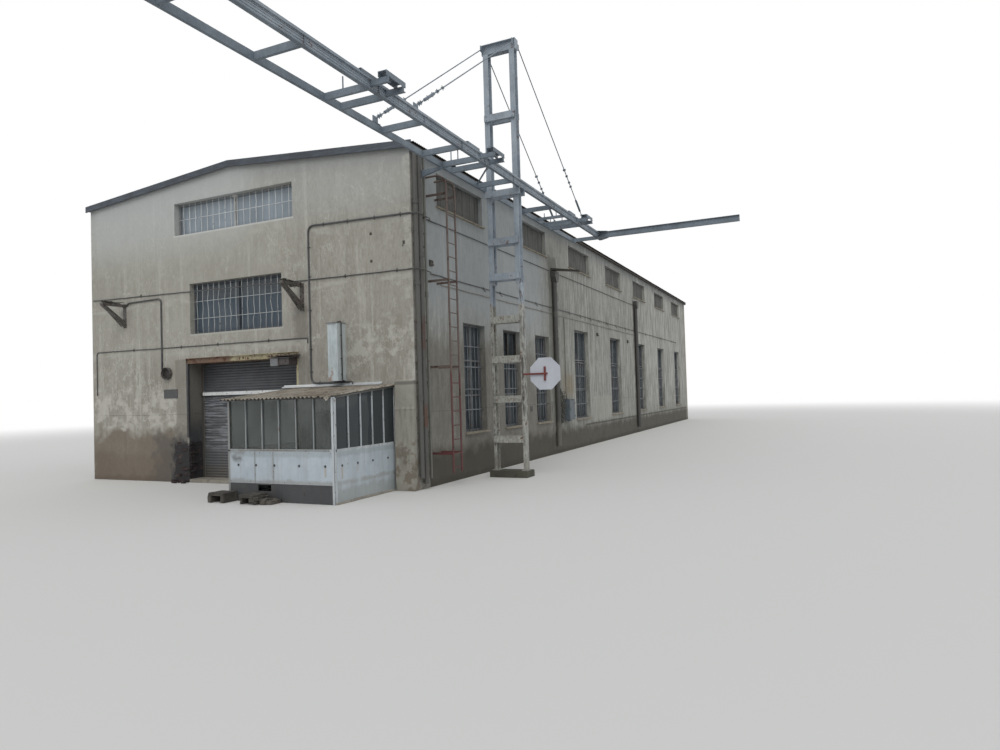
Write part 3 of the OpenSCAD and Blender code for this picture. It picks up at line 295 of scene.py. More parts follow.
@dataclass(frozen=True)
class LimePlaster(Finish):
    """Hand-floated lime and cement plaster on brick.

    The eye sees khaki grey, brushed upright, veined and clouded with lime bloom, and damp at its foot; the shadow
    under the roof's edge is painted in.
    """

    along: str = "X"
    faces: tuple[str, float, float] = ("Y", -30.0, 0.0)
    base: str = "#99958a"
    pale: str = "#b7b5ad"
    dark: str = "#847f74"
    grime: str = "#68635a"
    damp: str = "#7a7266"
    damp_top: float = 0.7
    streaks: float = 0.3
    vein_ink: str = "#cbc9c1"
    veins: float = 0.75
    seam: float = 1.66
    # Slope and height of the roofline, under which a shadow is painted
    eave_shadow: tuple[float, float] = (0.082, 7.56)
    stains: tuple[Stain, ...] = ()
    bare: tuple[tuple[float, float, float, float], ...] = ()

    def build(self, g: Graph) -> bpy.types.Material:
        """Lays clouds, veins, rain streaks, damp, a painted shadow under the roof's edge and the local marks,
        with sand and cracks in relief.
        """
        seen = g.band(self.faces[0], self.faces[1], self.faces[2], 0.02)
        rain = g.mottle(0.11, 0.5, 0.72, (1, 1, 0.07), 4, 0.6, seed=1.0, top=self.streaks)
        soot = g.mottle(0.2, 0.52, 0.75, (1, 1, 0.06), 4, 0.5, seed=8.0, top=self.streaks * 0.7)
        runs = g.mottle(0.17, 0.58, 0.68, (1, 1, 0.05), 4, 0.6, seed=31.0, top=0.4)
        clouds = g.mottle(1.5, 0.42, 0.66, seed=2.0)
        patch = g.mottle(0.3, 0.44, 0.7, (1, 1, 0.42), 8, 0.72, seed=5.0)
        fine = g.mottle(0.05, 0.35, 0.68, (1, 1, 0.4), detail=5, seed=4.0)
        sand = g.mottle(0.02, 0.35, 0.68, detail=2, seed=14.0)
        bloom = g.mottle(0.55, 0.0, 1.0, (1, 1, 0.6), 10, 0.74, seed=21.0)
        shift = g.add("Math", {0: bloom, 1: 0.5}, operation="SUBTRACT")
        off = g.add("Math", {0: shift}, operation="ABSOLUTE")
        vein = g.add("MapRange", {"Value": off, "From Min": 0.0, "From Max": 0.02, "To Min": 1.0, "To Max": 0.0},
                     interpolation_type="SMOOTHSTEP")
        where = g.add("Mapping", {"Vector": g.place, "Scale": (0.8, 0.8, 0.65)})
        bend = g.add("TexNoise", {"Vector": where, "Scale": 3.0, "Detail": 4.0}, out=1)
        bent = g.add("Mix", {0: 0.3, 4: where, 5: bend}, out=1, data_type="VECTOR")
        edge = g.add("TexVoronoi", {"Vector": bent, "Scale": 1.0}, feature="DISTANCE_TO_EDGE")
        line = g.add("MapRange",
                     {"Value": edge, "From Min": 0.0, "From Max": 0.007, "To Min": 1.0, "To Max": 0.0})
        crack = g.add("Math", {0: line, 1: g.mottle(0.5, 0.42, 0.62, seed=9.0)}, operation="MULTIPLY")
        foot = g.band("Z", -1.0, self.damp_top, 0.16, 0.16, 0.8)
        seam = g.band("Z", self.seam - 0.006, self.seam + 0.006, 0.006, 0.012, 1.1)
        # Painted shadow under the roof's edge: a soft grey band just under the roofline, following its slope
        side = g.add("Math", {0: g.axes["X"]}, operation="ABSOLUTE")
        under = g.add("Math", {0: side, 1: self.eave_shadow[0], 2: g.axes["Z"]}, operation="MULTIPLY_ADD")
        shade = g.add("MapRange",
                      {"Value": under, "From Min": self.eave_shadow[1] - 0.55, "From Max": self.eave_shadow[1] - 0.06},
                      interpolation_type="SMOOTHSTEP")
        crumbs = g.mottle(0.09, 0.54, 0.64, (1, 1, 0.5), 8, 0.75, seed=19.0)
        smears = g.mottle(0.2, 0.5, 0.7, (1, 1, 0.35), 7, 0.7, seed=6.0)
        layers: list[Sequence[Any]] = [
            (clouds, 0.3, self.pale),
            (g.mottle(2.1, 0.46, 0.62, seed=7.0), 0.35, self.dark),
            (patch, 0.5, self.pale),
            (vein, g.mottle(1.1, 0.44, 0.58, seed=17.0), self.veins * 0.95, self.vein_ink),
            (crumbs, g.mottle(0.9, 0.4, 0.6, seed=23.0), 0.65, self.vein_ink),
            (smears, 0.4, self.dark),
            (rain, self.pale),
            (runs, self.vein_ink),
            (soot, self.grime),
            (fine, 0.3, self.grime),
            (sand, 0.2, self.pale),
            (crack, self.veins * 0.8, self.vein_ink),
            (foot, 0.6, self.damp),
            (foot, g.mottle(0.5, 0.5, 0.62, seed=11.0), 0.5, self.grime),
            (g.band("Z", -1.0, 0.12, 0.06, 0.05, 0.3), 0.7, "#4b463f"),
            (seam, 0.5, self.grime),
            (shade, 0.6, "#666a6d"),
            *g.marks(self.stains, seen)]
        colour = g.coats(self.base, layers)
        heights = [(g.mottle(0.6, 0.2, 0.8, detail=3), 0.012), (fine, 0.004), (sand, 0.0016), (crack, -0.003),
                   (seam, -0.005)]
        if self.bare:
            flat = g.add("CombineXYZ", {0: g.axes[self.along], 1: g.axes["Z"]})
            size = {"Vector": flat, "Scale": 1.0, "Mortar Size": 0.007, "Mortar Smooth": 0.3, "Bias": 0.0,
                    "Brick Width": 0.262, "Row Height": 0.077, "Color1": linear("#5a4038"),
                    "Color2": linear("#40332f"), "Mortar": linear("#5f5b55")}
            bricks = g.add("TexBrick", size)
            joints = g.add("TexBrick", size, out=1)
            for i, (x0, x1, z0, z1) in enumerate(self.bare):
                hole = g.add("Math", {0: g.band(self.along, x0, x1, 0.03, 0.12, 0.16, seed=50.0 + i),
                                      1: g.band("Z", z0, z1, 0.03, 0.12, 0.16, seed=60.0 + i)},
                                      operation="MULTIPLY")
                spot = g.add("Math", {0: hole, 1: seen}, operation="MULTIPLY")
                colour = g.coats(colour, [(spot, bricks), (spot, g.mottle(0.25, 0.34, 0.46), 0.9, "#2a2b2e")])
                groove = g.add("Math", {0: spot, 1: joints}, operation="MULTIPLY")
                heights += [(spot, -0.012), (groove, -0.003)]
        return g.surface({"Base Color": colour, "Roughness": 0.92, "Normal": g.relief(heights)})


@dataclass(frozen=True)
class CastConcrete(Finish):
    """Cast or rendered concrete: grey, worn pale on top, with dark damp blots and coarse grit."""

    base: str = "#8b867c"
    pale: str = "#a6a298"
    dark: str = "#5c574f"

    def build(self, g: Graph) -> bpy.types.Material:
        """Mixes grey clouds with blots and pits."""
        grit = g.mottle(0.02, 0.35, 0.7, detail=3)
        colour = g.coats(self.base, [(g.mottle(0.5, 0.42, 0.64), 0.6, self.pale),
                                     (g.mottle(0.16, 0.52, 0.66, seed=3.0), 0.6, self.dark),
                                     (grit, 0.25, self.dark)])
        return g.surface({"Base Color": colour, "Roughness": 0.9,
                          "Normal": g.relief([(g.mottle(0.12, 0.3, 0.7), 0.006), (grit, 0.002)])})


@dataclass(frozen=True)
class OilPaint(Finish):
    """Brushed oil paint on steel: faded patches, chips down to rust, rust runs and clouds of grime."""

    paint: str = "#8f959b"
    faded: str = "#a9aeb2"
    rust: str = "#6b4632"
    deep: str = "#42302a"
    grime: str = "#55534e"
    chips: float = 0.6
    chip_size: float = 0.09
    runs: float = 0.35
    dirt: float = 0.35
    gloss: float = 0.55
    marks: tuple[Stain, ...] = ()

    def build(self, g: Graph) -> bpy.types.Material:
        """Lays faded paint, runs, chips and grime, with the chips a paint film's depth lower."""
        bare = g.mottle(self.chip_size, self.chips, self.chips + 0.025, (1, 1, 0.8), 7, 0.68, seed=2.0)
        rim = g.mottle(self.chip_size, self.chips - 0.035, self.chips, (1, 1, 0.8), 7, 0.68, seed=2.0)
        runs = g.mottle(0.045, 0.5, 0.75, (1, 1, 0.05), 4, 0.55, seed=6.0, top=self.runs)
        rusty = g.coats(self.rust, [(g.mottle(0.03, 0.45, 0.6, seed=1.0), self.deep)])
        colour = g.coats(self.paint, [
            (g.mottle(0.6, 0.4, 0.65, seed=5.0), 0.7, self.faded),
            (g.mottle(0.14, 0.5, 0.62, seed=4.0), 0.35, self.faded),
            *g.marks(self.marks), (runs, self.rust),
            (g.mottle(0.35, 0.45, 0.7, (1, 1, 0.5), seed=9.0, top=self.dirt), self.grime),
            (rim, 0.35, self.rust), (bare, rusty)])
        dull = g.add("MapRange", {"Value": bare, "To Min": self.gloss, "To Max": 0.88})
        return g.surface({"Base Color": colour, "Roughness": dull, "Normal": g.relief([
            (g.mottle(0.2, 0.3, 0.7, detail=2), 0.002), (bare, -0.0008),
            (g.mottle(0.006, 0.3, 0.7, detail=2), 0.0003)])})


@dataclass(frozen=True)
class DustyGlass(Finish):
    """Drawn window glass under years of dust: dark where wiped, dull where dusty, no two panes alike."""

    tint: str = "#2f3940"
    dust: str = "#6d757a"
    clear: float = 0.35
    dusty: float = 0.5
    pane: tuple[float, float, float] = (0.415, 0.39, 0.62)
    marks: tuple[Stain, ...] = ()
    dull: tuple[float, float] = (50.0, 51.0)
    rough: float = 0.08

    def build(self, g: Graph) -> bpy.types.Material:
        """Mixes dark glass with dust clouds, rain marks and a shade of its own for each pane."""
        dust = g.mottle(0.55, 0.38, 0.68, (1, 1, 0.6), seed=3.0, top=self.dusty)
        rain = g.mottle(0.05, 0.5, 0.7, (1, 1, 0.08), 3, seed=5.0, top=self.dusty * 0.6)
        cell = g.add("VectorMath", {0: g.place, 1: self.pane}, operation="SNAP")
        shade = g.add("TexWhiteNoise", {"Vector": cell}, out="Value")
        colour = g.coats(self.tint, [*g.marks(self.marks), (dust, self.dust), (rain, self.dust),
                                     (shade, self.dusty * 0.5, self.dust)])
        through = g.add("MapRange", {"Value": dust, "From Max": max(self.dusty, 0.01), "To Min": self.clear,
                                     "To Max": self.clear * (1.0 - self.dusty)})
        shut = g.band("X", *self.dull, 0.005)
        open_part = g.add("Math", {0: 1.0, 1: shut}, operation="SUBTRACT")
        through = g.add("Math", {0: through, 1: open_part}, operation="MULTIPLY")
        rough = g.add("MapRange", {"Value": dust, "To Min": self.rough, "To Max": 0.6})
        return g.surface({"Base Color": colour, "Roughness": rough, "Transmission Weight": through, "IOR": 1.52,
                          "Specular IOR Level": 0.2,
                          "Normal": g.relief([(g.mottle(0.9, 0.2, 0.8, detail=1), 0.006)])})


@dataclass(frozen=True)
class WeatheredSheet(Finish):
    """Old corrugated roof sheet: dull zinc and tar paint under moss and rust that runs down the slope."""

    base: str = "#54565a"
    pale: str = "#7f8180"
    moss: str = "#5a5238"
    rust: str = "#5d4334"
    mossy: float = 0.55
    run: tuple[float, float, float] = (0.1, 1, 1)
    marks: tuple[Stain, ...] = ()
    wave: tuple[str, float, float] = ("Y", 0.0, 0.0)
    # Colour of the painted shade on faces that look down
    under: str = "#2f2c2a"

    def build(self, g: Graph) -> bpy.types.Material:
        """Streaks the sheet along its fall, scatters moss over it, leaves dirt in its valleys and paints shade on
        its underside.
        """
        moss = g.mottle(0.18, self.mossy, self.mossy + 0.08, detail=8, rough=0.7, seed=3.0)
        axis, crest, pitch = self.wave
        dirt: list[Sequence[Any]] = []
        if pitch:
            turns = math.tau / pitch
            turn = g.add("Math", {0: g.axes[axis], 1: turns, 2: -crest * turns}, operation="MULTIPLY_ADD")
            swing = g.add("Math", {0: turn}, operation="COSINE")
            valley = g.add("MapRange", {"Value": swing, "From Min": -0.2, "From Max": 0.9})
            dirt.append((valley, g.mottle(0.3, 0.2, 0.6, self.run, seed=12.0), 0.75, self.moss))
        # Painted shade: faces that look down turn dark, standing in for the shade under the sheet
        up = g.add("SeparateXYZ", {0: g.add("NewGeometry", out="Normal")}, out="Z")
        downward_shade = g.add("MapRange", {"Value": up, "From Min": -0.2, "From Max": 0.05, "To Min": 1.0, "To Max": 0.0})
        colour = g.coats(self.base, [
            (g.mottle(0.35, 0.42, 0.66, self.run, seed=1.0), 0.6, self.pale),
            (g.mottle(0.22, 0.52, 0.68, self.run, seed=6.0), 0.6, self.rust),
            (g.mottle(0.9, 0.48, 0.62, seed=8.0), moss, self.moss), (moss, 0.45, self.moss),
            *dirt, *g.marks(self.marks), (downward_shade, 0.85, self.under)])
        return g.surface({"Base Color": colour, "Roughness": 0.85,
                          "Normal": g.relief([(moss, 0.004), (g.mottle(0.02, 0.3, 0.7, detail=3), 0.001)])})


@dataclass(frozen=True)
class TarredBoard(Finish):
    """Sawn softwood boards, tarred and grey: grain along the board, open joints and a dry, split face."""

    base: str = "#3f3a36"
    pale: str = "#5b554d"
    along: tuple[float, float, float] = (1, 0.05, 1)

    def build(self, g: Graph) -> bpy.types.Material:
        """Draws grain and splits along the board."""
        grain = g.mottle(0.02, 0.4, 0.65, self.along, 4, seed=2.0)
        colour = g.coats(self.base, [(grain, 0.6, self.pale), (g.mottle(0.6, 0.45, 0.65), 0.4, "#2b2826")])
        return g.surface({"Base Color": colour, "Roughness": 0.88, "Normal": g.relief([(grain, 0.003)])})


class Coat(Enum):
    """Finishes of the building, by the piece that wears them."""

    # Plaster: painted pale haze and long runs high up, brown damp and bare sooty brick at the doorway's foot,
    # painted shade in the doorway's reveals
    FRONT_PLASTER = LimePlaster(
        "floated_lime_plaster_front",
        bare=((-1.98, -1.4, -0.3, 0.95),),
        stains=(
            # Painted haze: the upper wall is lifted pale and bluish, most on the left
            Stain((-5.1, 5.1), (6.0, 7.7), "#b1b3b1", 0.45, 0.5, 0.1),
            Stain((-5.1, 0.5), (5.6, 7.7), "#bcbfbf", 0.55, 0.6, 0.1),
            Stain((-5.1, 2.0), (3.2, 6.2), "#a9a79d", 0.3, 0.6, 0.2),
            Stain((-5.1, -1.9), (-0.2, 1.25), "#6b5f52", 0.75, 0.15, 0.25, 0.6),
            Stain((-4.9, -1.88), (1.35, 2.3), "#bdbab2", 0.75, 0.1, 0.2, 0.3, spots=0.3),
            Stain((-1.92, -1.5), (1.0, 3.02), "#78746a", 0.6, 0.04, 0.05, 0.4),
            Stain((-2.7, -1.4), (-0.1, 1.2), "#57534f", 0.65, 0.25, 0.3, 0.3),
            Stain((-2.05, -1.4), (-0.1, 1.0), "#37393d", 0.85, 0.12, 0.2, 0.2),
            # Painted shade in the doorway's reveals, darkest towards their foot
            Stain((-15.985, -15.3), (1.2, 3.0), "#64625b", 0.85, 0.2, axis="Y", crisp=0.01),
            Stain((-15.985, -15.3), (-0.2, 1.5), "#393c41", 0.88, 0.4, axis="Y", crisp=0.01),
            Stain((1.95, 2.3), (2.2, 3.0), "#6f6b64", 0.5, 0.1, 0.08, 0.2),
            Stain((1.85, 2.25), (3.25, 4.05), "#67615a", 0.55, 0.1, 0.08, 0.2),
            Stain((-5.1, 5.1), (4.38, 4.52), "#bcbab3", 0.5, 0.05, 0.05, 0.3, spots=0.3, flow=(0.4, 1, 1)),
            Stain((-5.1, 2.3), (3.14, 3.3), "#b5b3ab", 0.5, 0.05, 0.05, 0.3, spots=0.25, flow=(0.4, 1, 1)),
            Stain((2.4, 5.1), (5.55, 5.74), "#b9b7af", 0.45, 0.05, 0.05, 0.3, spots=0.3, flow=(0.4, 1, 1)),
            Stain((4.82, 5.1), (1.9, 7.0), "#bcbab2", 0.6, 0.05, 0.06, 0.4, spots=0.3),
            Stain((3.3, 4.75), (2.7, 3.6), "#c2c0b9", 0.55, 0.2, 0.2, spots=0.22),
            Stain((-1.9, 2.0), (5.85, 6.1), "#b4b2aa", 0.45, 0.04, 0.04, 0.3, spots=0.2, flow=(1, 1, 0.3)),
            Stain((-1.9, 1.9), (6.06, 6.105), "#c9cac7", 0.7, 0.012, 0.004, 0.2),
            Stain((-1.4, 1.55), (3.58, 3.625), "#b9b9b4", 0.5, 0.012, 0.004, 0.2),
            Stain((4.55, 5.1), (-0.2, 2.28), "#9a988e", 0.7, 0.03, 0.03),
            Stain((4.5, 5.1), (-0.1, 1.0), "#66584a", 0.65, 0.1, 0.15, spots=0.16),
            Stain((4.6, 5.1), (0.5, 1.75), "#6b6860", 0.35, 0.05, 0.1, spots=0.09, flow=(1, 1, 0.12)),
            # Dark joint across the pier, darkened further by the painted shadow of its ledge
            Stain((4.5, 5.1), (2.19, 2.26), "#55524b", 0.6, 0.02, 0.01),
            Stain((3.96, 4.02), (5.41, 5.47), "#3a2f29", 0.9, 0.012, 0.01, 0.03),
            Stain((3.96, 4.02), (4.82, 4.88), "#3a2f29", 0.9, 0.012, 0.01, 0.03),
            Stain((4.78, 4.84), (5.12, 5.2), "#3f352f", 0.85, 0.012, 0.01, 0.03)))
    SIDE_PLASTER = LimePlaster(
        "floated_lime_plaster_side", along="Y", faces=("X", 0.0, 30.0), base="#93938c", pale="#a9a9a3",
        dark="#7b7a73",
        grime="#5a5852", damp="#6f6b62", damp_top=0.8, streaks=0.35, veins=0.35, seam=1.6, eave_shadow=(0.0, 7.15),
        stains=along_y(
            ((-15.9, -6.0), (0.75, 6.9), "#66655e", 0.3, 0.5, 0.2, 0.35, 0.12, (1, 1, 0.3)),
            # Painted light: the upper wall under the bridge's near end is lightened against the bridge's shade
            ((-16.2, -8.5), (3.6, 7.3), "#a6abae", 0.6, 0.8, 0.2),
            ((-6.4, 16.5), (0.75, 6.9), "#bdbcb6", 0.55, 0.6, 0.3, 0.35, 0.08, (1, 1, 0.08)),
            ((-6.4, 16.5), (0.75, 6.9), "#5f5d57", 0.35, 0.6, 0.3, 0.35, 0.09, (1, 1, 0.11)),
            ((3.6, 16.5), (1.2, 6.9), "#c8c7c1", 0.45, 0.3, 0.3, 0.35, 0.22, (1, 1, 0.2)),
            ((-16.2, -8.0), (-0.2, 3.2), "#635b51", 0.5, 0.4, 0.3),
            ((-6.9, -5.9), (1.8, 2.5), "#857251", 0.5, 0.25, 0.15, 0.2),
            ((2.75, 3.55), (0.3, 5.9), "#3c3b38", 0.75, 0.12, 0.12),
            ((-8.0, -7.2), (0.8, 6.2), "#55534d", 0.55, 0.1, 0.1),
            # Painted shadow of the plaster ledge along the wall's foot, a thin dark line
            ((-4.6, 16.2), (0.72, 0.78), "#45423c", 0.75, 0.01, 0.01, 1.0),
            ((-16.2, 16.2), (-0.2, 0.68), "#403d34", 0.72, 0.14, 0.14),
            ((-3.6, -0.5), (0.85, 1.75), "#aaa9a1", 0.5, 0.05, 0.08),
            ((-15.31, -15.2), (4.75, 4.9), "#2f2723", 0.9, 0.02, 0.03, 0.06),
            ((-3.03, -2.92), (4.0, 4.1), "#35302b", 0.85, 0.02, 0.02, 0.05),
            ((1.5, 1.62), (3.95, 4.1), "#35302b", 0.85, 0.02, 0.02, 0.05)))
    # Concrete, brick and mortar: matt and gritty, so that they catch no shine beside the steel
    CONCRETE = CastConcrete("cast_concrete_worn")
    MOSSY_CONCRETE = CastConcrete("cast_concrete_mossy", "#48473e", "#5e5c52", "#302f29")
    RUBBLE = CastConcrete("broken_concrete_damp", "#433f3a", "#716c64", "#262422")
    SOOTY_BRICK = CastConcrete("common_brick_sooty", "#2b2a2c", "#513a33", "#17171a")
    SILL = CastConcrete("sill_mortar_rendered", "#8f8778", "#a29a8b", "#645e53")
    # Corrugated sheet: dirt and moss lie in the valleys and streak down the fall
    ROOF_SHEET = WeatheredSheet("corrugated_sheet_tarred")
    ANNEX_SHEET = WeatheredSheet(
        "corrugated_sheet_mossy", "#8d8579", "#aca69b", "#453d31", "#6b5445", 0.52, (1, 0.12, 1),
        (Stain((-18.3, -18.17), (1.5, 2.3), "#b0a99c", 0.5, 0.015, 0.01, 0.05, axis="Y"),
         Stain((4.38, 4.6), (1.5, 2.3), "#b7b2a6", 0.6, 0.02, 0.015, 0.05, spots=0.06)), ("X", 1.835, 0.1))
    CANOPY_SHEET = WeatheredSheet("corrugated_sheet_rusted", "#584b49", "#6d5c58", "#403a36", "#4c3934", 0.58,
                                  (1, 0.2, 1))
    # Boards: grain along each board and a dry grey face
    BOARD = TarredBoard("tarred_softwood_board")
    VERGE_BOARD = TarredBoard("painted_softwood_board", "#4a5058", "#666d75", (0.05, 1, 1))
    GREY_BOARD = TarredBoard("weathered_softwood_board", "#5a5a57", "#777873", (1, 1, 0.05))
    # Windows: pale chipped bars before dusty panes, hazy high up and dark low down
    WINDOW_PAINT = OilPaint(
        "window_bar_paint", "#585d60", "#777b7e", chips=0.62, chip_size=0.05, runs=0.2, dirt=0.4,
        marks=(Stain((-11.7, -10.2), (2.79, 3.8), "#17191b", 0.95, 0.01, 0.0, axis="Y"),
               Stain((-2.2, 2.2), (6.0, 7.0), "#8d9192", 0.6, 0.05, 0.0),
               Stain((-2.2, 2.2), (3.4, 5.0), "#414b55", 0.85, 0.05, 0.0),
               Stain((-0.07, 0.07), (6.05, 6.95), "#c2c2bd", 0.85, 0.01, 0.0)))
    GRILLE_PAINT = OilPaint("grille_paint_pale", "#b6bbba", "#c6c9c7", chips=0.62, chip_size=0.05, runs=0.3,
                            dirt=0.3,
        marks=(Stain((-2.2, 2.2), (6.0, 7.0), "#e2e4e3", 0.8, 0.05, 0.0),))
    SIDE_GRILLE = OilPaint("grille_paint_grey", "#6b7176", "#83898c", chips=0.6, chip_size=0.05, dirt=0.3)
    HALL_GLASS = DustyGlass(
        "drawn_glass_dusty", "#343c42", "#6a7278", 0.15, 0.4,
        marks=(Stain((-2.2, 2.2), (5.9, 7.1), "#a9b4be", 0.95, 0.02, 0.0),
               Stain((-1.7, 1.8), (3.5, 4.5), "#43515f", 0.9, 0.06, 0.03),
               Stain((-1.7, 1.8), (4.5, 5.0), "#575c62", 0.8, 0.06, 0.03),
               Stain((-11.65, -10.2), (2.78, 3.8), "#0d0f11", 0.97, 0.01, 0.0, axis="Y")))
    ANNEX_GLASS = DustyGlass("drawn_glass_annex", "#b9c1be", "#5f6564", 0.96, 0.12, (0.42, 0.5, 2.0),
                             marks=(Stain((4.4, 5.0), (0.0, 3.0), "#272c31", 0.95, 0.005, 0.0),), dull=(4.4, 5.0),
                             rough=0.01)
    # Doorway: cream paint that flakes to brown rust, dark slats with scuffed pale streaks
    LINTEL = OilPaint(
        "lintel_paint_flaking", "#b0a886", "#c1ba9d", "#6b4635", "#46322a", chips=0.55, chip_size=0.07, runs=0.5,
        marks=(Stain((-1.8, -0.15), (2.5, 3.3), "#6c4a38", 0.85, 0.08, 0.15, 0.12),
               Stain((-1.8, 2.2), (2.5, 2.908), "#5f4a3c", 0.7, 0.005, 0.0)))
    CANOPY_STEEL = OilPaint("canopy_steel_rusted", "#484444", "#575150", "#4e3f3b", "#322c2c", chips=0.56,
                            chip_size=0.08)
    WEATHERED_STEEL = OilPaint(
        "bracket_steel_weathered", "#575451", "#6a6762", "#4b423d", "#35302d", chips=0.54, chip_size=0.05,
        runs=0.4,
        marks=(Stain((5.0, 6.1), (5.5, 6.0), "#34332f", 0.92, 0.01, 0.0),))
    SHUTTER = OilPaint(
        "shutter_slat_steel", "#414449", "#54585d", "#54443a", "#332b28", chips=0.66, chip_size=0.06, runs=0.3,
        dirt=0.35, gloss=0.45,
        marks=(Stain((-1.6, 2.0), (-0.1, 2.13), "#585a5c", 0.9, 0.02, 0.0),
               Stain((-1.6, 2.0), (1.2, 2.1), "#2c313c", 0.88, 0.1, 0.12, 0.4, spots=0.4, flow=(0.3, 1, 1)),
               Stain((-1.6, 2.0), (0.8, 2.1), "#9a9da2", 0.6, 0.2, 0.05, spots=0.05, flow=(0.1, 1, 1)),
               Stain((-1.6, 2.0), (-0.1, 0.35), "#5b554e", 0.6, 0.1, 0.05)))
    GUIDE = OilPaint(
        "shutter_guide_paint", "#c7c5b6", "#d3d1c4", chips=0.62, chip_size=0.08, runs=0.3, dirt=0.2,
        marks=(Stain((-1.6, -1.42), (-0.1, 3.1), "#232426", 0.93, 0.01, 0.0),
               Stain((-1.42, 1.8), (2.0, 2.3), "#dcdedf", 0.9, 0.005, 0.0)))
    BLACK_STEEL = OilPaint("jamb_angle_black", "#2d2e30", "#43454a", "#5a4437", chips=0.6, chip_size=0.06,
                           runs=0.3)
    YELLOW_STEEL = OilPaint("jamb_angle_cream", "#a8a182", "#b9b396", chips=0.58, chip_size=0.06, runs=0.3)
    # Annex: cold pale enamel with rust under its bolts, grimy at its feet, its heads painted dark as the shadow
    # under the roof sheet
    ANNEX_PAINT = OilPaint(
        "annex_panel_enamel", "#aeb9c1", "#bfc8ce", "#7c573f", "#4c3a31", "#868f95", chips=0.68, chip_size=0.06,
        runs=0.16, dirt=0.3, gloss=0.45,
        marks=(Stain((1.98, 2.22), (0.78, 0.88), "#4a4642", 0.75, 0.06, 0.04, 0.12),
               Stain((1.9, 2.3), (0.92, 1.0), "#67635e", 0.6, 0.04, 0.04, 0.15),
               Stain((1.9, 4.5), (0.34, 0.42), "#8b8378", 0.5, 0.03, 0.03, 0.2),
               Stain((4.25, 4.29), (0.5, 0.69), "#a58a68", 0.5, 0.012, 0.006, 0.05),
               Stain((-17.82, -17.78), (0.45, 0.69), "#a58a68", 0.5, 0.012, 0.006, 0.05, axis="Y"),
               Stain((-17.34, -17.3), (0.55, 0.69), "#a58a68", 0.35, 0.012, 0.006, 0.05, axis="Y"),
               Stain((-18.1, -16.0), (0.86, 0.97), "#8b9396", 0.4, 0.03, 0.03, 0.2, axis="Y"),
               Stain((-18.1, -16.0), (-0.1, 0.3), "#8f918c", 0.6, 0.1, 0.12, 0.3, axis="Y")))
    FRAME_PAINT = OilPaint(
        "annex_frame_enamel", "#93989a", "#a9adad", "#7a5a45", "#4c3a31", "#77797a", chips=0.62, chip_size=0.05,
        runs=0.35, dirt=0.4,
        marks=(Stain((1.85, 4.6), (0.96, 1.02), "#8f8f89", 0.7, 0.02, 0.02, 0.2, spots=0.2, flow=(0.3, 0.3, 1)),
               Stain((1.8, 1.96), (-0.1, 2.3), "#85857f", 0.6, 0.01, 0.0),
               Stain((4.38, 4.6), (-0.1, 1.975), "#c3cace", 0.9, 0.004, 0.0)))
    # Dark paint on the heads is painted shadow from the roof sheet above them
    HEAD_SHADOW_PAINT = OilPaint("annex_head_painted_shadow", "#4f5150", "#636562", "#5c4a3e", "#35302c", chips=0.6,
                          chip_size=0.05, runs=0.4, dirt=0.5)
    ZINC = OilPaint("canopy_zinc_sheet", "#74777a", "#868a8c", chips=0.63, chip_size=0.05, runs=0.3)
    FLASHING = OilPaint(
        "flashing_zinc_painted", "#c3c6c8", "#d2d4d5", "#7a6a5c", "#55483f", "#8b8d8e", chips=0.66,
        chip_size=0.08, runs=0.1, dirt=0.3,
        marks=(Stain((1.4, 2.45), (2.1, 2.4), "#e2e3e3", 0.8, 0.01, 0.0),
               Stain((3.35, 4.3), (2.1, 2.4), "#b3b6b8", 0.7, 0.01, 0.0)))
    SKIRTING = OilPaint("skirting_bitumen_paint", "#3b3d3f", "#484a4d", "#4e4038", "#2d2725", "#5a5854",
                        chips=0.66, chip_size=0.1)
    DUCT = OilPaint(
        "duct_zinc_paint", "#bcc7ca", "#ccd4d6", "#7b5a45", "#4e3b33", "#868c8d", chips=0.67, chip_size=0.08,
        runs=0.2, dirt=0.25,
        # Painted light: the duct's right side face is lightened against its shade
        marks=(Stain((3.268, 3.4), (2.0, 3.556), "#c9d1d2", 0.8, 0.002, 0.0),
               Stain((3.0, 3.3), (2.0, 3.556), "#9aa2a3", 0.35, 0.01, 0.0, spots=0.12, flow=(1, 1, 0.3)),
               Stain((2.95, 3.12), (2.2, 2.62), "#8f5f40", 0.7, 0.03, 0.04, 0.08, spots=0.09),
               Stain((2.9, 3.4), (3.5605, 3.7), "#484543", 0.92, 0.002, 0.0)))
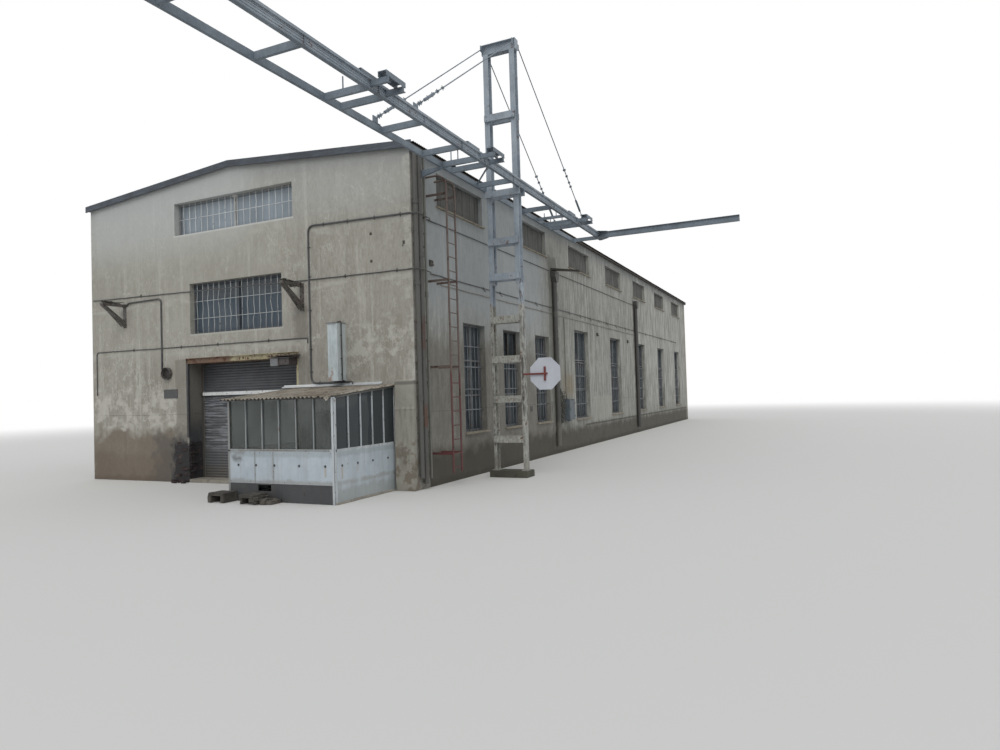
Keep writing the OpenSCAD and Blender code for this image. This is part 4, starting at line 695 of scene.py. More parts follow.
    # Pipes and fittings: one dark paint, faded or rusted where each stretch lies
    PIPE = OilPaint(
        "pipe_paint_dark", "#434547", "#57595b", "#5c4034", "#3e2d27", chips=0.65, chip_size=0.1, runs=0.2,
        marks=along_y(
            ((-16.0, -15.7), (-0.1, 7.3), "#565650", 0.6, 0.01, 0.0),
            ((-15.86, -15.71), (2.9, 3.62), "#4a352d", 0.85, 0.05, 0.06, 0.1),
            ((-15.86, -15.71), (1.3, 1.75), "#5a3b2f", 0.85, 0.05, 0.06, 0.1),
            ((-15.6, -15.4), (0.1, 7.2), "#7d7e76", 0.7, 0.01, 0.0),
            ((-15.4, 2.8), (4.3, 4.48), "#9a988f", 0.7, 0.01, 0.0),
            ((-6.75, -6.6), (1.7, 4.4), "#9c9b93", 0.75, 0.01, 0.0),
            ((-7.85, -7.45), (0.9, 6.0), "#434440", 0.85, 0.1, 0.06, 0.3, 0.0, (1, 1, 1), 0.01),
            ((-7.85, -7.45), (-0.1, 1.0), "#67645b", 0.85, 0.12, 0.1, 0.3, 0.0, (1, 1, 1), 0.01),
            ((2.7, 3.2), (0.2, 6.0), "#3d3c3a", 0.85, 0.01, 0.0)))
    VALVE = OilPaint("valve_iron_rusted", "#3a3b36", "#4a4b44", "#463a30", "#2a2724", chips=0.6, chip_size=0.06,
                     runs=0.3)
    CABINET = OilPaint("cabinet_enamel", "#566168", "#6a767d", chips=0.65, chip_size=0.08, dirt=0.35)
    LADDER = OilPaint(
        "ladder_red_oxide", "#5b4c46", "#6b5d57", "#4d3c35", "#3d302b", chips=0.58, chip_size=0.12, runs=0.4,
        marks=(Stain((-16.0, -14.5), (-0.1, 2.42), "#5a2a2c", 0.9, 0.04, 0.04, 0.1, axis="Y"),))
    # Pylon and bridge: slate paint above, white paint peeling to rust on the lower legs
    PYLON = OilPaint(
        "pylon_paint_peeling", "#8f9aa5", "#a9b2ba", "#6f4b38", "#443029", "#666c71", chips=0.63, chip_size=0.12,
        runs=0.25, dirt=0.3,
        marks=(Stain((5.4, 6.5), (-0.1, 4.02), "#acada5", 0.95, 0.03, 0.05, 0.15),
               Stain((5.4, 6.5), (-0.1, 4.02), "#83827a", 0.35, 0.04, 0.05, spots=0.1, flow=(1, 1, 0.6)),
               Stain((5.4, 6.5), (-0.1, 4.02), "#5a4b43", 0.4, 0.04, 0.05, spots=0.04, flow=(1, 1, 0.6)),
               Stain((5.55, 5.62), (-0.1, 4.02), "#4d413b", 0.6, 0.01, 0.02, spots=0.05, flow=(1, 1, 0.3)),
               Stain((6.33, 6.5), (1.3, 4.6), "#37302f", 0.75, 0.01, 0.02, spots=0.07, flow=(1, 1, 0.3)),
               Stain((5.4, 6.5), (0.15, 0.5), "#7d7a71", 0.5, 0.1, 0.08)))
    BRIDGE = OilPaint("bridge_paint_slate", "#68737e", "#838e98", "#625048", "#433630", "#4e5459", chips=0.66,
                      chip_size=0.12, runs=0.2, dirt=0.4)
    PLATE = OilPaint("plate_enamel_pale", "#bcc0c9", "#c6cad1", chips=0.72, chip_size=0.06, runs=0.06, dirt=0.12,
                     gloss=0.35)
    BRACKET = OilPaint("bracket_red_oxide", "#6a2b2b", "#7a3833", chips=0.6, chip_size=0.06, runs=0.2)

    def make(self) -> bpy.types.Material:
        """Returns the finish's material."""
        return self.value.material()


class Wall(Enum):
    """Faces of the hall, each as its outward axis, its side and its distance from the middle."""

    FRONT = ("Y", -1, 16.0)
    REAR = ("Y", 1, 16.0)
    RIGHT = ("X", 1, 5.0)
    LEFT = ("X", -1, 5.0)

    def at(self, along: float, out: float, z: float) -> Vector:
        """Place on a wall.

        Args:
            along: X on a gable wall, Y on a side wall.
            out: Metres out of the wall's face.
            z: Height.

        Returns:
            Point in the part's frame.
        """
        axis, side, reach = self.value
        off = side * (reach + out)
        return Vector((along, off, z)) if axis == "Y" else Vector((off, along, z))


def circle(middle: Vector, s: Vector, t: Vector, radius: float, sides: int) -> list[Vector]:
    """Points of a circle about a middle, from the direction s through t at a right angle to it."""
    angles = (k * math.tau / sides for k in range(sides))
    return [middle + radius * (s * math.cos(a) + t * math.sin(a)) for a in angles]


@dataclass
class Shape:
    """Points and faces of a piece while it is put together."""

    points: list[Vector] = field(default_factory=list)
    faces: list[tuple[int, ...]] = field(default_factory=list)

    def grow(self, points: Iterable[Point], faces: Iterable[Sequence[int]]) -> None:
        """Adds points and the faces between them.

        Args:
            points: New points.
            faces: Faces by index into the new points.
        """
        base = len(self.points)
        self.points += [Vector(p) for p in points]
        self.faces += [tuple(base + i for i in f) for f in faces]

    def loft(self, rings: Sequence[Sequence[Point]], closed: bool = True) -> None:
        """Skins rings of equal length, and closes both ends.

        Args:
            rings: Rings of points.
            closed: Whether the ends get a face.
        """
        n = len(rings[0])
        faces = [(r * n + i, r * n + (i + 1) % n, (r + 1) * n + (i + 1) % n, (r + 1) * n + i)
                 for r in range(len(rings) - 1) for i in range(n)]
        if closed:
            faces += [tuple(reversed(range(n))), tuple((len(rings) - 1) * n + i for i in range(n))]
        self.grow([p for ring in rings for p in ring], faces)

    def box(self, low: Point, high: Point) -> None:
        """Adds a block between two corners."""
        (x0, y0, z0), (x1, y1, z1) = ([min(a, b) for a, b in zip(low, high)],
                                      [max(a, b) for a, b in zip(low, high)])
        self.loft([[(x0, y0, z), (x1, y0, z), (x1, y1, z), (x0, y1, z)] for z in (z0, z1)])

    def bar(self, a: Point, b: Point, wide: float, deep: float, side: Point = (0, 0, 1)) -> None:
        """Adds a flat bar.

        Args:
            a: One end.
            b: The other end.
            wide: Width along side.
            deep: Thickness across it.
            side: Direction of the width.
        """
        run = (Vector(b) - Vector(a)).normalized()
        s = Vector(side)
        s = (s - run * s.dot(run)).normalized()
        t = run.cross(s)
        corners = [s * (i * wide / 2) + t * (j * deep / 2) for i, j in ((-1, -1), (1, -1), (1, 1), (-1, 1))]
        self.loft([[Vector(end) + c for c in corners] for end in (a, b)])

    def profile(self, low: Point, high: Point, across: Point, inward: Point,
                outline: Sequence[tuple[float, float]]) -> None:
        """Extrudes a rolled section's outline, given as steps across and inward from its outer face."""
        u, v = Vector(across), Vector(inward)
        self.loft([[Vector(p) + u * a + v * b for a, b in outline] for p in (low, high)])

    def tube(self, path: Sequence[Point], radius: float, sides: int = 10) -> None:
        """Sweeps a round bar along a path.

        Args:
            path: Points of its middle.
            radius: Its radius.
            sides: Corners of its round.
        """
        pts = [Vector(p) for p in path]
        rings = []
        for i, p in enumerate(pts):
            run = (pts[min(i + 1, len(pts) - 1)] - pts[max(i - 1, 0)]).normalized()
            s = run.orthogonal().normalized() if i == 0 else (s - run * s.dot(run)).normalized()
            t = run.cross(s)
            rings.append(circle(p, s, t, radius, sides))
        self.loft(rings)

    def bolt(self, at: Point, out: Point, across: float = 0.024) -> None:
        """Adds a hexagon head on a washer.

        Args:
            at: Place on the surface.
            out: Direction out of it.
            across: Width over the head.
        """
        run, at = Vector(out).normalized(), Vector(at)
        s = run.orthogonal().normalized()
        t = run.cross(s)
        washer = (12, 0.85 * across, -0.001, 0.12 * across)
        head = (6, 0.56 * across, 0.12 * across, 0.6 * across)
        for sides, radius, low, high in (washer, head):
            self.loft([circle(at + run * h, s, t, radius, sides) for h in (low, high)])

    def ring(self, middle: Point, out: Point, reach: float, radius: float, turns: int = 20, arc: float = math.tau,
             start: Point | None = None) -> None:
        """Bends a round bar into a ring or an arc.

        Args:
            middle: Its middle.
            out: Axis of the ring.
            reach: Distance from the middle to the bar.
            radius: Radius of the bar.
            turns: Steps along the ring.
            arc: Angle that it covers.
            start: Direction of its first point.
        """
        run, at = Vector(out).normalized(), Vector(middle)
        s = Vector(start).normalized() if start is not None else run.orthogonal().normalized()
        t = run.cross(s)
        self.tube([at + reach * (s * math.cos(arc * k / turns) + t * math.sin(arc * k / turns))
                          for k in range(turns + 1)], radius, 8)

    def clip(self, at: Point, out: Point, along: Point, across: float, wide: float = 0.018) -> None:
        """Straps a pipe to a wall: a half ring over the pipe with a screwed ear at each side.

        Args:
            at: Place on the wall, behind the pipe's middle.
            out: Direction out of the wall.
            along: Direction of the pipe.
            across: Pipe's diameter.
            wide: Width of the strap.
        """
        run, way, at = Vector(out).normalized(), Vector(along).normalized(), Vector(at)
        side = run.cross(way)
        r = across / 2 + 0.004
        mid = at + run * (across / 2)
        ear, arc = 0.024, [k * math.pi / 6 for k in range(7)]
        path = [at + side * (r + ear), at + side * r]
        path += [mid + side * (r * math.cos(a)) + run * (r * math.sin(a)) for a in arc]
        path += [at - side * r, at - side * (r + ear)]
        for a, b in zip(path, path[1:]):
            self.bar(a + run * 0.002, b + run * 0.002, wide, 0.003, way)
        for k in (-1, 1):
            self.bolt(at + side * (k * (r + 0.014)) + run * 0.003, run, 0.011)

    def stone(self, low: Point, high: Point, rng: random.Random, rough: float = 0.012,
              round_off: float = 0.3) -> None:
        """Breaks a rough block out of a rounded box.

        Args:
            low: Lowest corner.
            high: Highest corner.
            rng: Source of its chance.
            rough: How far its points are knocked in or out.
            round_off: 0 for a sharp box, 1 for an egg.
        """
        a, b = Vector(low), Vector(high)
        mid, half = (a + b) / 2, (b - a) / 2
        rings = []
        for level, shrink in ((-1.0, 0.93), (-0.8, 1.0), (-0.2, 1.0), (0.4, 1.0), (0.86, 0.98), (1.0, 0.9)):
            ring = []
            for k in range(16):
                c, d = math.cos(k * math.tau / 16), math.sin(k * math.tau / 16)
                u, v = (math.copysign(abs(w) ** round_off, w) for w in (c, d))
                jog = [rng.uniform(-rough, rough) for _ in range(3)]
                p = mid + Vector((half.x * u * shrink + jog[0], half.y * v * shrink + jog[1],
                                  half.z * level + jog[2] * 0.6))
                ring.append(Vector((p.x, p.y, max(p.z, 0.0))))
            rings.append(ring)
        self.loft(rings)

    def sheet(self, grid: Sequence[Sequence[Point]], thick: Point) -> None:
        """Makes a thin closed sheet from a grid.

        Args:
            grid: Rows of points on its upper face.
            thick: Step from the upper to the lower face.
        """
        rows, cols = len(grid), len(grid[0])
        top = [Vector(p) for row in grid for p in row]
        low = [p + Vector(thick) for p in top]
        n = rows * cols
        cells = [(r * cols + c, r * cols + c + 1, (r + 1) * cols + c + 1, (r + 1) * cols + c)
                 for r in range(rows - 1) for c in range(cols - 1)]
        rim = ([(0, c) for c in range(cols)] + [(r, cols - 1) for r in range(1, rows)]
               + [(rows - 1, c) for c in range(cols - 2, -1, -1)] + [(r, 0) for r in range(rows - 2, 0, -1)])
        ids = [r * cols + c for r, c in rim]
        faces = cells + [tuple(n + i for i in reversed(f)) for f in cells]
        faces += [(a, a + n, b + n, b) for a, b in zip(ids, ids[1:] + ids[:1])]
        self.grow(top + low, faces)

    def piece(self, name: str, coat: Coat, slot: str, replaces: Sequence[str] = (),
              smooth: bool = False) -> bpy.types.Object:
        """Makes the object, dresses it and fixes it to the building.

        Args:
            name: Name of the piece.
            coat: Its finish.
            slot: Material slot of the record; not used.
            replaces: Nodes that it stands for.
            smooth: Whether its faces are shaded round.

        Returns:
            The new object.
        """
        mesh = bpy.data.meshes.new(name)
        mesh.from_pydata([tuple(p) for p in self.points], [], self.faces)
        mesh.materials.append(coat.make())
        mesh.validate()
        if smooth:
            mesh.polygons.foreach_set("use_smooth", [True] * len(mesh.polygons))
        mesh.update()
        item = bpy.data.objects.new(name, mesh)
        bpy.context.scene.collection.objects.link(item)
        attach(item, "root")
        if replaces:
            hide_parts(*replaces)
        LOG.info("%s: %d faces", name, len(mesh.polygons))
        return item


def rounded(points: Sequence[Point], radius: float, steps: int = 5) -> list[Vector]:
    """Rounds the corners of a route.

    Args:
        points: The route's corners.
        radius: Distance from a corner at which its bend starts.
        steps: Points along a bend.

    Returns:
        Points of the rounded route.
    """
    pts = [Vector(p) for p in points]
    path = [pts[0]]
    for a, b, c in zip(pts, pts[1:], pts[2:]):
        cut = min(radius, (b - a).length * 0.48, (c - b).length * 0.48)
        p, q = b + (a - b).normalized() * cut, b + (c - b).normalized() * cut
        for t in (k / steps for k in range(steps + 1)):
            path.append((p * (1 - t) + b * t) * (1 - t) + (b * (1 - t) + q * t) * t)
    return path + [pts[-1]]


def dress(coats: Mapping[str, Coat]) -> None:
    """Gives carried-over nodes their finishes.

    Args:
        coats: Finish of each node.
    """
    for name, coat in coats.items():
        node = frame["nodes"][name]
        for slot in node.material_slots:
            slot.material = coat.make()
        if not node.material_slots:
            node.data.materials.append(coat.make())


@dataclass(frozen=True)
class Window:
    """A window's place: its middle along the wall, sill, width and height, and its grille."""

    middle: float
    sill: float
    width: float
    height: float
    bars: int
    rails: tuple[float, ...]
    bar_top: float = 1.0


@dataclass
class Hall:
    """Walls, roof, windows and doorway of the hall."""

    eave: float = 7.15
    ridge: float = 7.56
    half: float = 5.0
    length: float = 32.0
    deck: float = 0.06
    wave: float = 0.076
    wave_depth: float = 0.018
    reach: float = 5.147
    verge: float = 0.06
    rows: int = 3
    door: tuple[float, float] = (-1.473, 1.873)
    door_foot: float = 0.08
    door_top: float = 2.9
    slats: int = 42
    high_sill: float = 6.15
    bay_middles: tuple[float, ...] = tuple(-13.75 + 4.45 * i for i in range(7))
    close_middles: tuple[float, ...] = tuple(-13.22 + 2.275 * i for i in range(3))
    rng: random.Random = field(default_factory=lambda: random.Random(7))

    def build(self) -> None:
        """Dresses the nodes and makes the fine pieces."""
        dress({"front_wall": Coat.FRONT_PLASTER, "rear_wall": Coat.FRONT_PLASTER, "right_wall": Coat.SIDE_PLASTER,
               "left_wall": Coat.SIDE_PLASTER, "floor_slab": Coat.CONCRETE, "roof_deck": Coat.BOARD,
               "verge_boards": Coat.VERGE_BOARD, "window_frames": Coat.WINDOW_PAINT,
               "window_glass": Coat.HALL_GLASS,
               "window_sills": Coat.SILL, "door_lintel": Coat.LINTEL, "shutter_guides": Coat.GUIDE,
               "door_canopy": Coat.CANOPY_STEEL})
        self.roof()
        self.windows()
        self.boards()
        self.shutter()
        self.doorway()
        self.canopy()
        self.broken_jamb()

    def slope(self, side: int, down: float, along: float, up: float) -> Vector:
        """Place on the roof.

        Args:
            side: -1 or 1 for the slope.
            down: Metres from the ridge down the slope.
            along: Y.
            up: Height over the deck.

        Returns:
            Point in the part's frame.
        """
        angle = math.atan((self.ridge - self.eave) / self.half)
        base = self.ridge + self.deck / math.cos(angle) + 0.0003
        return Vector((side * (down * math.cos(angle) + up * math.sin(angle)), along,
                       base - down * math.sin(angle) + up * math.cos(angle)))

    def roof(self) -> None:
        """Lays lapped rows of fine corrugated sheets and the ridge cap."""
        half = self.length / 2 + self.verge
        waves = round(2 * half / self.wave)
        per_sheet = 11
        shape = Shape()
        for side in (-1, 1):
            for row in range(self.rows):
                start = 0.02 + row * (self.reach - 0.02) / self.rows
                end = min(self.reach, 0.02 + (row + 1) * (self.reach - 0.02) / self.rows + 0.12)
                lifts = [self.rng.uniform(0, 0.004) for _ in range(waves // per_sheet + 2)]
                grid: list[list[Vector]] = [[], []]
                for k in range(waves * 4 + 1):
                    y = -half + 2 * half * k / (waves * 4)
                    height = self.wave_depth * (0.5 - 0.5 * math.cos(k * math.pi / 2))
                    height += lifts[k // 4 // per_sheet]
                    layer = 0.005 * (self.rows - 1 - row)
                    grid[0].append(self.slope(side, start, y, 0.006 + height + layer))
                    grid[1].append(self.slope(side, end, y, 0.012 + height + layer + 0.004))
                shape.sheet(grid, (0, 0, -0.003))
            cap = [[self.slope(side, down, y, up) for y in (-half, half)]
                   for down, up in ((0.0, 0.047), (0.12, 0.047), (0.225, 0.04))]
            shape.sheet(cap, (0, 0, -0.004))
        shape.piece("roof_sheets_fine", Coat.ROOF_SHEET, "roof_metal", ["roof_sheets"])

    def windows(self) -> None:
        """Makes the glazing bars and grilles of every window."""
        gable_top = Window(0.0, 6.10, 3.74, 0.80, 18, (0.5,))
        gable_low = Window(0.06, 3.62, 2.90, 1.24, 15, (0.30, 0.64))
        pale, grey = Shape(), Shape()
        for wall in (Wall.FRONT, Wall.REAR):
            self.grille(pale, wall, gable_top, 0.122, 0.0065, 0.005, 0.011)
            self.grille(pale, wall, gable_low, 0.07, 0.0065, 0.011, 0.012)
        for wall in (Wall.RIGHT, Wall.LEFT):
            for i, m in enumerate(self.close_middles):
                rails, top = ((0.205, 0.395, 0.6, 0.79), 1.0) if i != 1 else ((0.205, 0.395, 0.6), 0.665)
                self.grille(grey, wall, Window(m, 1.05, 1.16, 2.59, 5, rails, top), 0.11, 0.01, 0.008)
            for m in self.bay_middles[2:]:
                self.grille(grey, wall, Window(m, 1.0, 1.55, 3.05, 6, (0.16, 0.32, 0.48, 0.635), 0.64), 0.11,
                            0.009, 0.006)
        pale.piece("gable_window_bars", Coat.GRILLE_PAINT, "window_paint", smooth=True)
        grey.piece("side_window_bars", Coat.SIDE_GRILLE, "window_paint", smooth=True)

    def grille(self, shape: Shape, wall: Wall, w: Window, deep: float, radius: float, bend: float,
               rail: float = 0.026) -> None:
        """Adds one window's bars and rails.

        Args:
            shape: Shape to add to.
            wall: Wall that holds it.
            w: The window.
            deep: Metres behind the wall's face.
            radius: Radius of the bars.
            bend: How far a bar is knocked out of line.
            rail: Height of the flat rails.
        """
        low, high = w.sill, w.sill + w.height * w.bar_top
        for i in range(w.bars):
            u = w.middle - w.width / 2 + (i + 1) * w.width / (w.bars + 1)
            path = []
            for k in range(7):
                free = 0 < k < 6
                along, out = u + self.rng.gauss(0, bend) * free, -deep + self.rng.gauss(0, bend / 2) * free
                path.append(wall.at(along, out, low + (high - low) * k / 6))
            shape.tube(path, radius, 8)
        for r in w.rails:
            z = w.sill + r * w.height
            sag = self.rng.uniform(-0.01, 0.01) * (bend > 0)
            out, half = -deep + 0.014, w.width / 2
            shape.bar(wall.at(w.middle - half, out, z), wall.at(w.middle + half, out, z + sag), rail, 0.008)

    def boards(self) -> None:
        """Closes the high side windows with upright boards."""
        shape = Shape()
        for wall in (Wall.RIGHT, Wall.LEFT):
            for m in self.bay_middles:
                for i in range(24):
                    u = m - 1.15 + 2.3 * (i + 0.5) / 24
                    out = -0.118 + self.rng.uniform(-0.006, 0.006)
                    top = self.high_sill + 0.735 - self.rng.uniform(0, 0.02)
                    shape.bar(wall.at(u, out, self.high_sill + 0.004),
                              wall.at(u + self.rng.gauss(0, 0.003), out, top),
                              0.088, 0.018, wall.at(1, 0, 0) - wall.at(0, 0, 0))
        shape.piece("high_window_boards", Coat.GREY_BOARD, "roof_timber")

    def shutter(self) -> None:
        """Rolls the curtain out of its fine curved slats, each a little out of line."""
        profile = ((0.0, 0.0), (0.07, 0.003), (0.22, 0.010), (0.5, 0.0135), (0.78, 0.010), (0.93, 0.003))
        pitch = (self.door_top - self.door_foot) / self.slats
        back, steps = -15.5525, 16
        left, right = self.door
        across = [left + (right - left) * k / steps for k in range(steps + 1)]
        grid = []
        for i in range(self.slats):
            lean = [self.rng.gauss(0, 0.0008) for _ in across]
            for part, out in profile:
                z = self.door_foot + (i + part) * pitch
                grid.append([(x, back - out + off, z) for x, off in zip(across, lean)])
        grid.append([(x, back, self.door_top) for x in across])
        shape = Shape()
        shape.sheet(grid, (0, 0.0025, 0))
        shape.piece("shutter_slats_fine", Coat.SHUTTER, "shutter_steel", ["roller_shutter"])

    def doorway(self) -> None:
        """Frames the doorway with its corner angles, black at the left and cream at the right."""
        for name, coat, x, side, low in (("door_jamb_angle_left", Coat.BLACK_STEEL, -1.5, 1, 1.1),
                                         ("door_jamb_angle_right", Coat.YELLOW_STEEL, 1.9, -1, 0.1)):
            shape = Shape()
            levels = [low + (2.9 - low) * k / 8 for k in range(9)]
            wobble = [self.rng.gauss(0, 0.0015) for _ in levels]
            for (z0, d0), (z1, d1) in zip(zip(levels, wobble), zip(levels[1:], wobble[1:])):
                face, edge = x - side * 0.022, x + side * 0.003
                shape.bar((face + d0, -16.004, z0), (face + d1, -16.004, z1), 0.056, 0.006, (1, 0, 0))
                shape.bar((edge, -15.98 + d0, z0), (edge, -15.98 + d1, z1), 0.05, 0.006, (0, 1, 0))
            for z in levels[1::2]:
                shape.bolt((x - side * 0.03, -16.007, z), (0, -1, 0), 0.014)
            shape.piece(name, coat, "rusty_steel")

    def canopy(self) -> None:
        """Lays the small corrugated roof over the canopy and closes its left end with a grey box."""
        x0, x1, wave = 1.33, 2.01, 0.066
        steps = round((x1 - x0) / wave * 6)
        grid = []
        for y, z in ((-16.003, 2.953), (-16.12, 2.942), (-16.24, 2.930), (-16.352, 2.918)):
            grid.append([(x0 + (x1 - x0) * k / steps, y + (self.rng.gauss(0, 0.003) if y < -16.3 else 0.0),
                          z + 0.008 * (1 - math.cos(k * math.pi / 3))) for k in range(steps + 1)])
        roof = Shape()
        roof.sheet(grid, (0, 0, -0.002))
        for x in (1.42, 1.68, 1.94):
            roof.bolt((x, -16.1, 2.962), (0, 0, 1), 0.02)
        roof.piece("canopy_sheet_fine", Coat.CANOPY_SHEET, "rusty_steel")
        end = Shape()
        end.box((1.425, -16.312, 2.71), (1.463, -16.005, 2.905))
        end.box((1.425, -16.316, 2.712), (1.64, -16.2925, 2.898))
        end.bar((1.421, -16.3, 2.715), (1.421, -16.3, 2.905), 0.02, 0.01, (0, 1, 0))
        for z in (2.74, 2.88):
            end.bolt((1.62, -16.316, z), (0, -1, 0), 0.012)
        end.piece("canopy_end_plate", Coat.ZINC, "rusty_steel")

    def broken_jamb(self) -> None:
        """Leaves the stumps of the broken brick courses in the doorway's sooty left corner."""
        shape = Shape()
        course, broken = 0.077, (0.011, 0.28)
        corner = -1.5
        for row in range(13):
            z = row * course
            reach = 0.45 - 0.024 * row + self.rng.uniform(-0.09, 0.09)
            x = corner + self.rng.uniform(-0.05, 0.02)
            while x > corner - reach:
                wide = self.rng.choice((0.07, 0.11, 0.17, 0.235)) * self.rng.uniform(0.75, 1.0)
                out = self.rng.uniform(-0.02, 0.035) + 0.02 * (row < 5)
                tilt = self.rng.uniform(-0.008, 0.008)
                if self.rng.random() < 0.5:
                    top = z + tilt + self.rng.uniform(0.045, 0.066)
                    shape.stone((x - wide, FRONT_Y - out, z + tilt), (x, -15.93, top), self.rng, *broken)
                x -= wide + self.rng.uniform(0.008, 0.03)
            if self.rng.random() < 0.7:
                deep = self.rng.uniform(0.08, 0.22)
                x = corner + self.rng.uniform(0.005, 0.045)
                shape.stone((-1.56, -15.97, z), (x, -15.97 + deep, z + 0.06), self.rng, *broken)
        for _ in range(9):
            x, y = self.rng.uniform(-2.0, -1.5), self.rng.uniform(-16.2, -16.02)
            size = self.rng.uniform(0.02, 0.06)
            low, high = (x - size, y - size * 0.7, 0.0), (x + size, y + size * 0.7, size * 1.3)
            shape.stone(low, high, self.rng, 0.01, 0.4)
        shape.piece("broken_jamb_bricks", Coat.SOOTY_BRICK, "wall_plaster")


@dataclass
class Annex:
    """Glazed annex before the front wall."""

    left: float = 1.88
    right: float = 4.48
    front: float = -18.025
    sill: float = 1.01
    back_height: float = 2.18
    front_height: float = 1.98
    roof_side: float = 0.045
    roof_out: float = 0.19
    wave: float = 0.1
    wave_depth: float = 0.032
    rng: random.Random = field(default_factory=lambda: random.Random(21))

    def build(self) -> None:
        """Dresses the nodes and makes the roof, the screws, the trims and the broken steps."""
        dress({"annex_floor": Coat.CONCRETE, "annex_skirting": Coat.SKIRTING, "annex_panels": Coat.ANNEX_PAINT,
               "annex_glazing": Coat.ANNEX_GLASS, "annex_flashing": Coat.FLASHING, "duct_box": Coat.DUCT})
        self.roof()
        self.frame()
        self.duct_pipe()
        self.fixings()
        self.trims()
        self.steps()

    def roof(self) -> None:
        """Laps three corrugated sheets with a ragged front edge and a torn, lifted corner at the right."""
        angle = math.atan((self.back_height - self.front_height) / (FRONT_Y - self.front))
        x0, x1 = self.left - self.roof_side, self.right + self.roof_side
        run = (FRONT_Y - self.front + self.roof_out) / math.cos(angle)
        shape = Shape()
        sheet = (x1 - x0) / 3
        rows = 14
        for i in range(3):
            low, high = x0 + i * sheet - (0.06 if i else 0.0), x0 + (i + 1) * sheet
            steps = round((high - low) / self.wave * 6)
            over = self.rng.uniform(-0.02, 0.01)
            ends = [run - 0.012 + over + self.rng.gauss(0, 0.004) for _ in range(steps + 1)]
            for k in range(steps + 1):
                x = low + (high - low) * k / steps
                if x > x1 - 0.3:
                    ends[k] -= 0.05 + self.rng.uniform(0, 0.05) * ((x1 - x) / 0.3)
                if x > x1 - 0.07:
                    ends[k] += 0.045
            grid = []
            for r in range(rows + 2):
                line = []
                for k in range(steps + 1):
                    x = low + (high - low) * k / steps
                    down = 0.02 + (run - 0.2) * r / (rows - 1)
                    if r >= rows:
                        down = ends[k] - 0.08 * (rows + 1 - r)
                    up = self.wave_depth / 2 * (1 - math.cos((x - x0) / self.wave * math.tau))
                    up += 0.003 + 0.0035 * i
                    up -= 0.075 * max(0.0, (x - x1 + 0.28) / 0.28) * max(0.0, (down - run + 0.17) / 0.17)
                    chip = self.rng.uniform(0.0, 0.018) * (i == 2 and k == steps)
                    x -= 0.06 * (down / run) * (x - x0) / (x1 - x0) + chip
                    line.append((x, FRONT_Y - down * math.cos(angle),
                                 self.back_height - down * math.sin(angle) + up))
                grid.append(line)
            shape.sheet(grid, (0, 0, -0.0025))
        for x in (x0 + 0.15, x0 + 0.75, x0 + 1.35, x0 + 1.95, x0 + 2.5):
            for down in (0.35, 1.95):
                shape.bolt((x, FRONT_Y - down, self.back_height - down * math.tan(angle) + self.wave_depth),
                           (0, 0, 1), 0.024)
        shape.piece("annex_roof_fine", Coat.ANNEX_SHEET, "annex_sheet", ["annex_roof"])

    def frame(self) -> None:
        """Welds the frame of angles, T bars and flats, with its heads under the roof sheet painted dark as the
        sheet's shadow.
        """
        tee = ((-0.009, 0.0), (0.009, 0.0), (0.009, 0.004), (0.003, 0.004),
               (0.003, 0.028), (-0.003, 0.028), (-0.003, 0.004), (-0.009, 0.004))
        angle = ((0.0, 0.0), (0.05, 0.0), (0.05, 0.005), (0.005, 0.005), (0.005, 0.05), (0.0, 0.05))
        flat = ((0.0, 0.0), (0.028, 0.0), (0.028, 0.005), (0.005, 0.005), (0.005, 0.028), (0.0, 0.028))
        rail = ((0.0, 0.0), (0.044, 0.0), (0.044, 0.03), (0.038, 0.03), (0.038, 0.005), (0.0, 0.005))
        head = ((0.0, 0.0), (-0.03, 0.0), (-0.03, 0.005), (-0.006, 0.005), (-0.006, 0.03), (0.0, 0.03))
        left, right, front, back = self.left, self.right, self.front, FRONT_Y - SEAT
        low, top = self.sill - 0.044, self.front_height - SEAT
        fall = (self.back_height - self.front_height) / (FRONT_Y - front)
        frame, heads = Shape(), Shape()
        for x, side in ((left, 1), (right, -1)):
            frame.profile((x, front, 0.0), (x, front, top), (side, 0, 0), (0, 1, 0), angle)
        frame.profile((left + 0.005, front, low), (right - 0.005, front, low), (0, 0, 1), (0, 1, 0), rail)
        heads.profile((left + 0.005, front, top), (right - 0.005, front, top), (0, 0, 1), (0, 1, 0), head)
        step = (right - left - 0.1) / 6
        for i in range(1, 6):
            x = left + 0.05 + i * step
            frame.profile((x, front, self.sill), (x, front, top - 0.03), (1, 0, 0), (0, 1, 0), tee)
        y0 = front + 0.0503
        step = (back - y0 - 0.028) / 5
        for x, side in ((left, 1), (right, -1)):
            for y, way in ((y0, 1), (back, -1)):
                high = self.back_height + fall * (y - FRONT_Y) - SEAT
                frame.profile((x, y, 0.0), (x, y, high), (0, way, 0), (side, 0, 0), flat)
            frame.profile((x, y0, low), (x, back, low), (0, 0, 1), (side, 0, 0), rail)
            ends = [(x, y, self.back_height + fall * (y - FRONT_Y) - SEAT) for y in (y0, back)]
            heads.profile(*ends, (0, 0, 1), (side, 0, 0), head)
            for i in range(1, 5):
                y = y0 + i * step + 0.014
                high = self.back_height + fall * (y - FRONT_Y) - 0.03
                frame.profile((x, y, self.sill), (x, y, high), (0, 1, 0), (side, 0, 0), tee)
        frame.piece("annex_frame_fine", Coat.FRAME_PAINT, "annex_paint", ["annex_frame"])
        heads.piece("annex_frame_heads", Coat.HEAD_SHADOW_PAINT, "annex_paint")

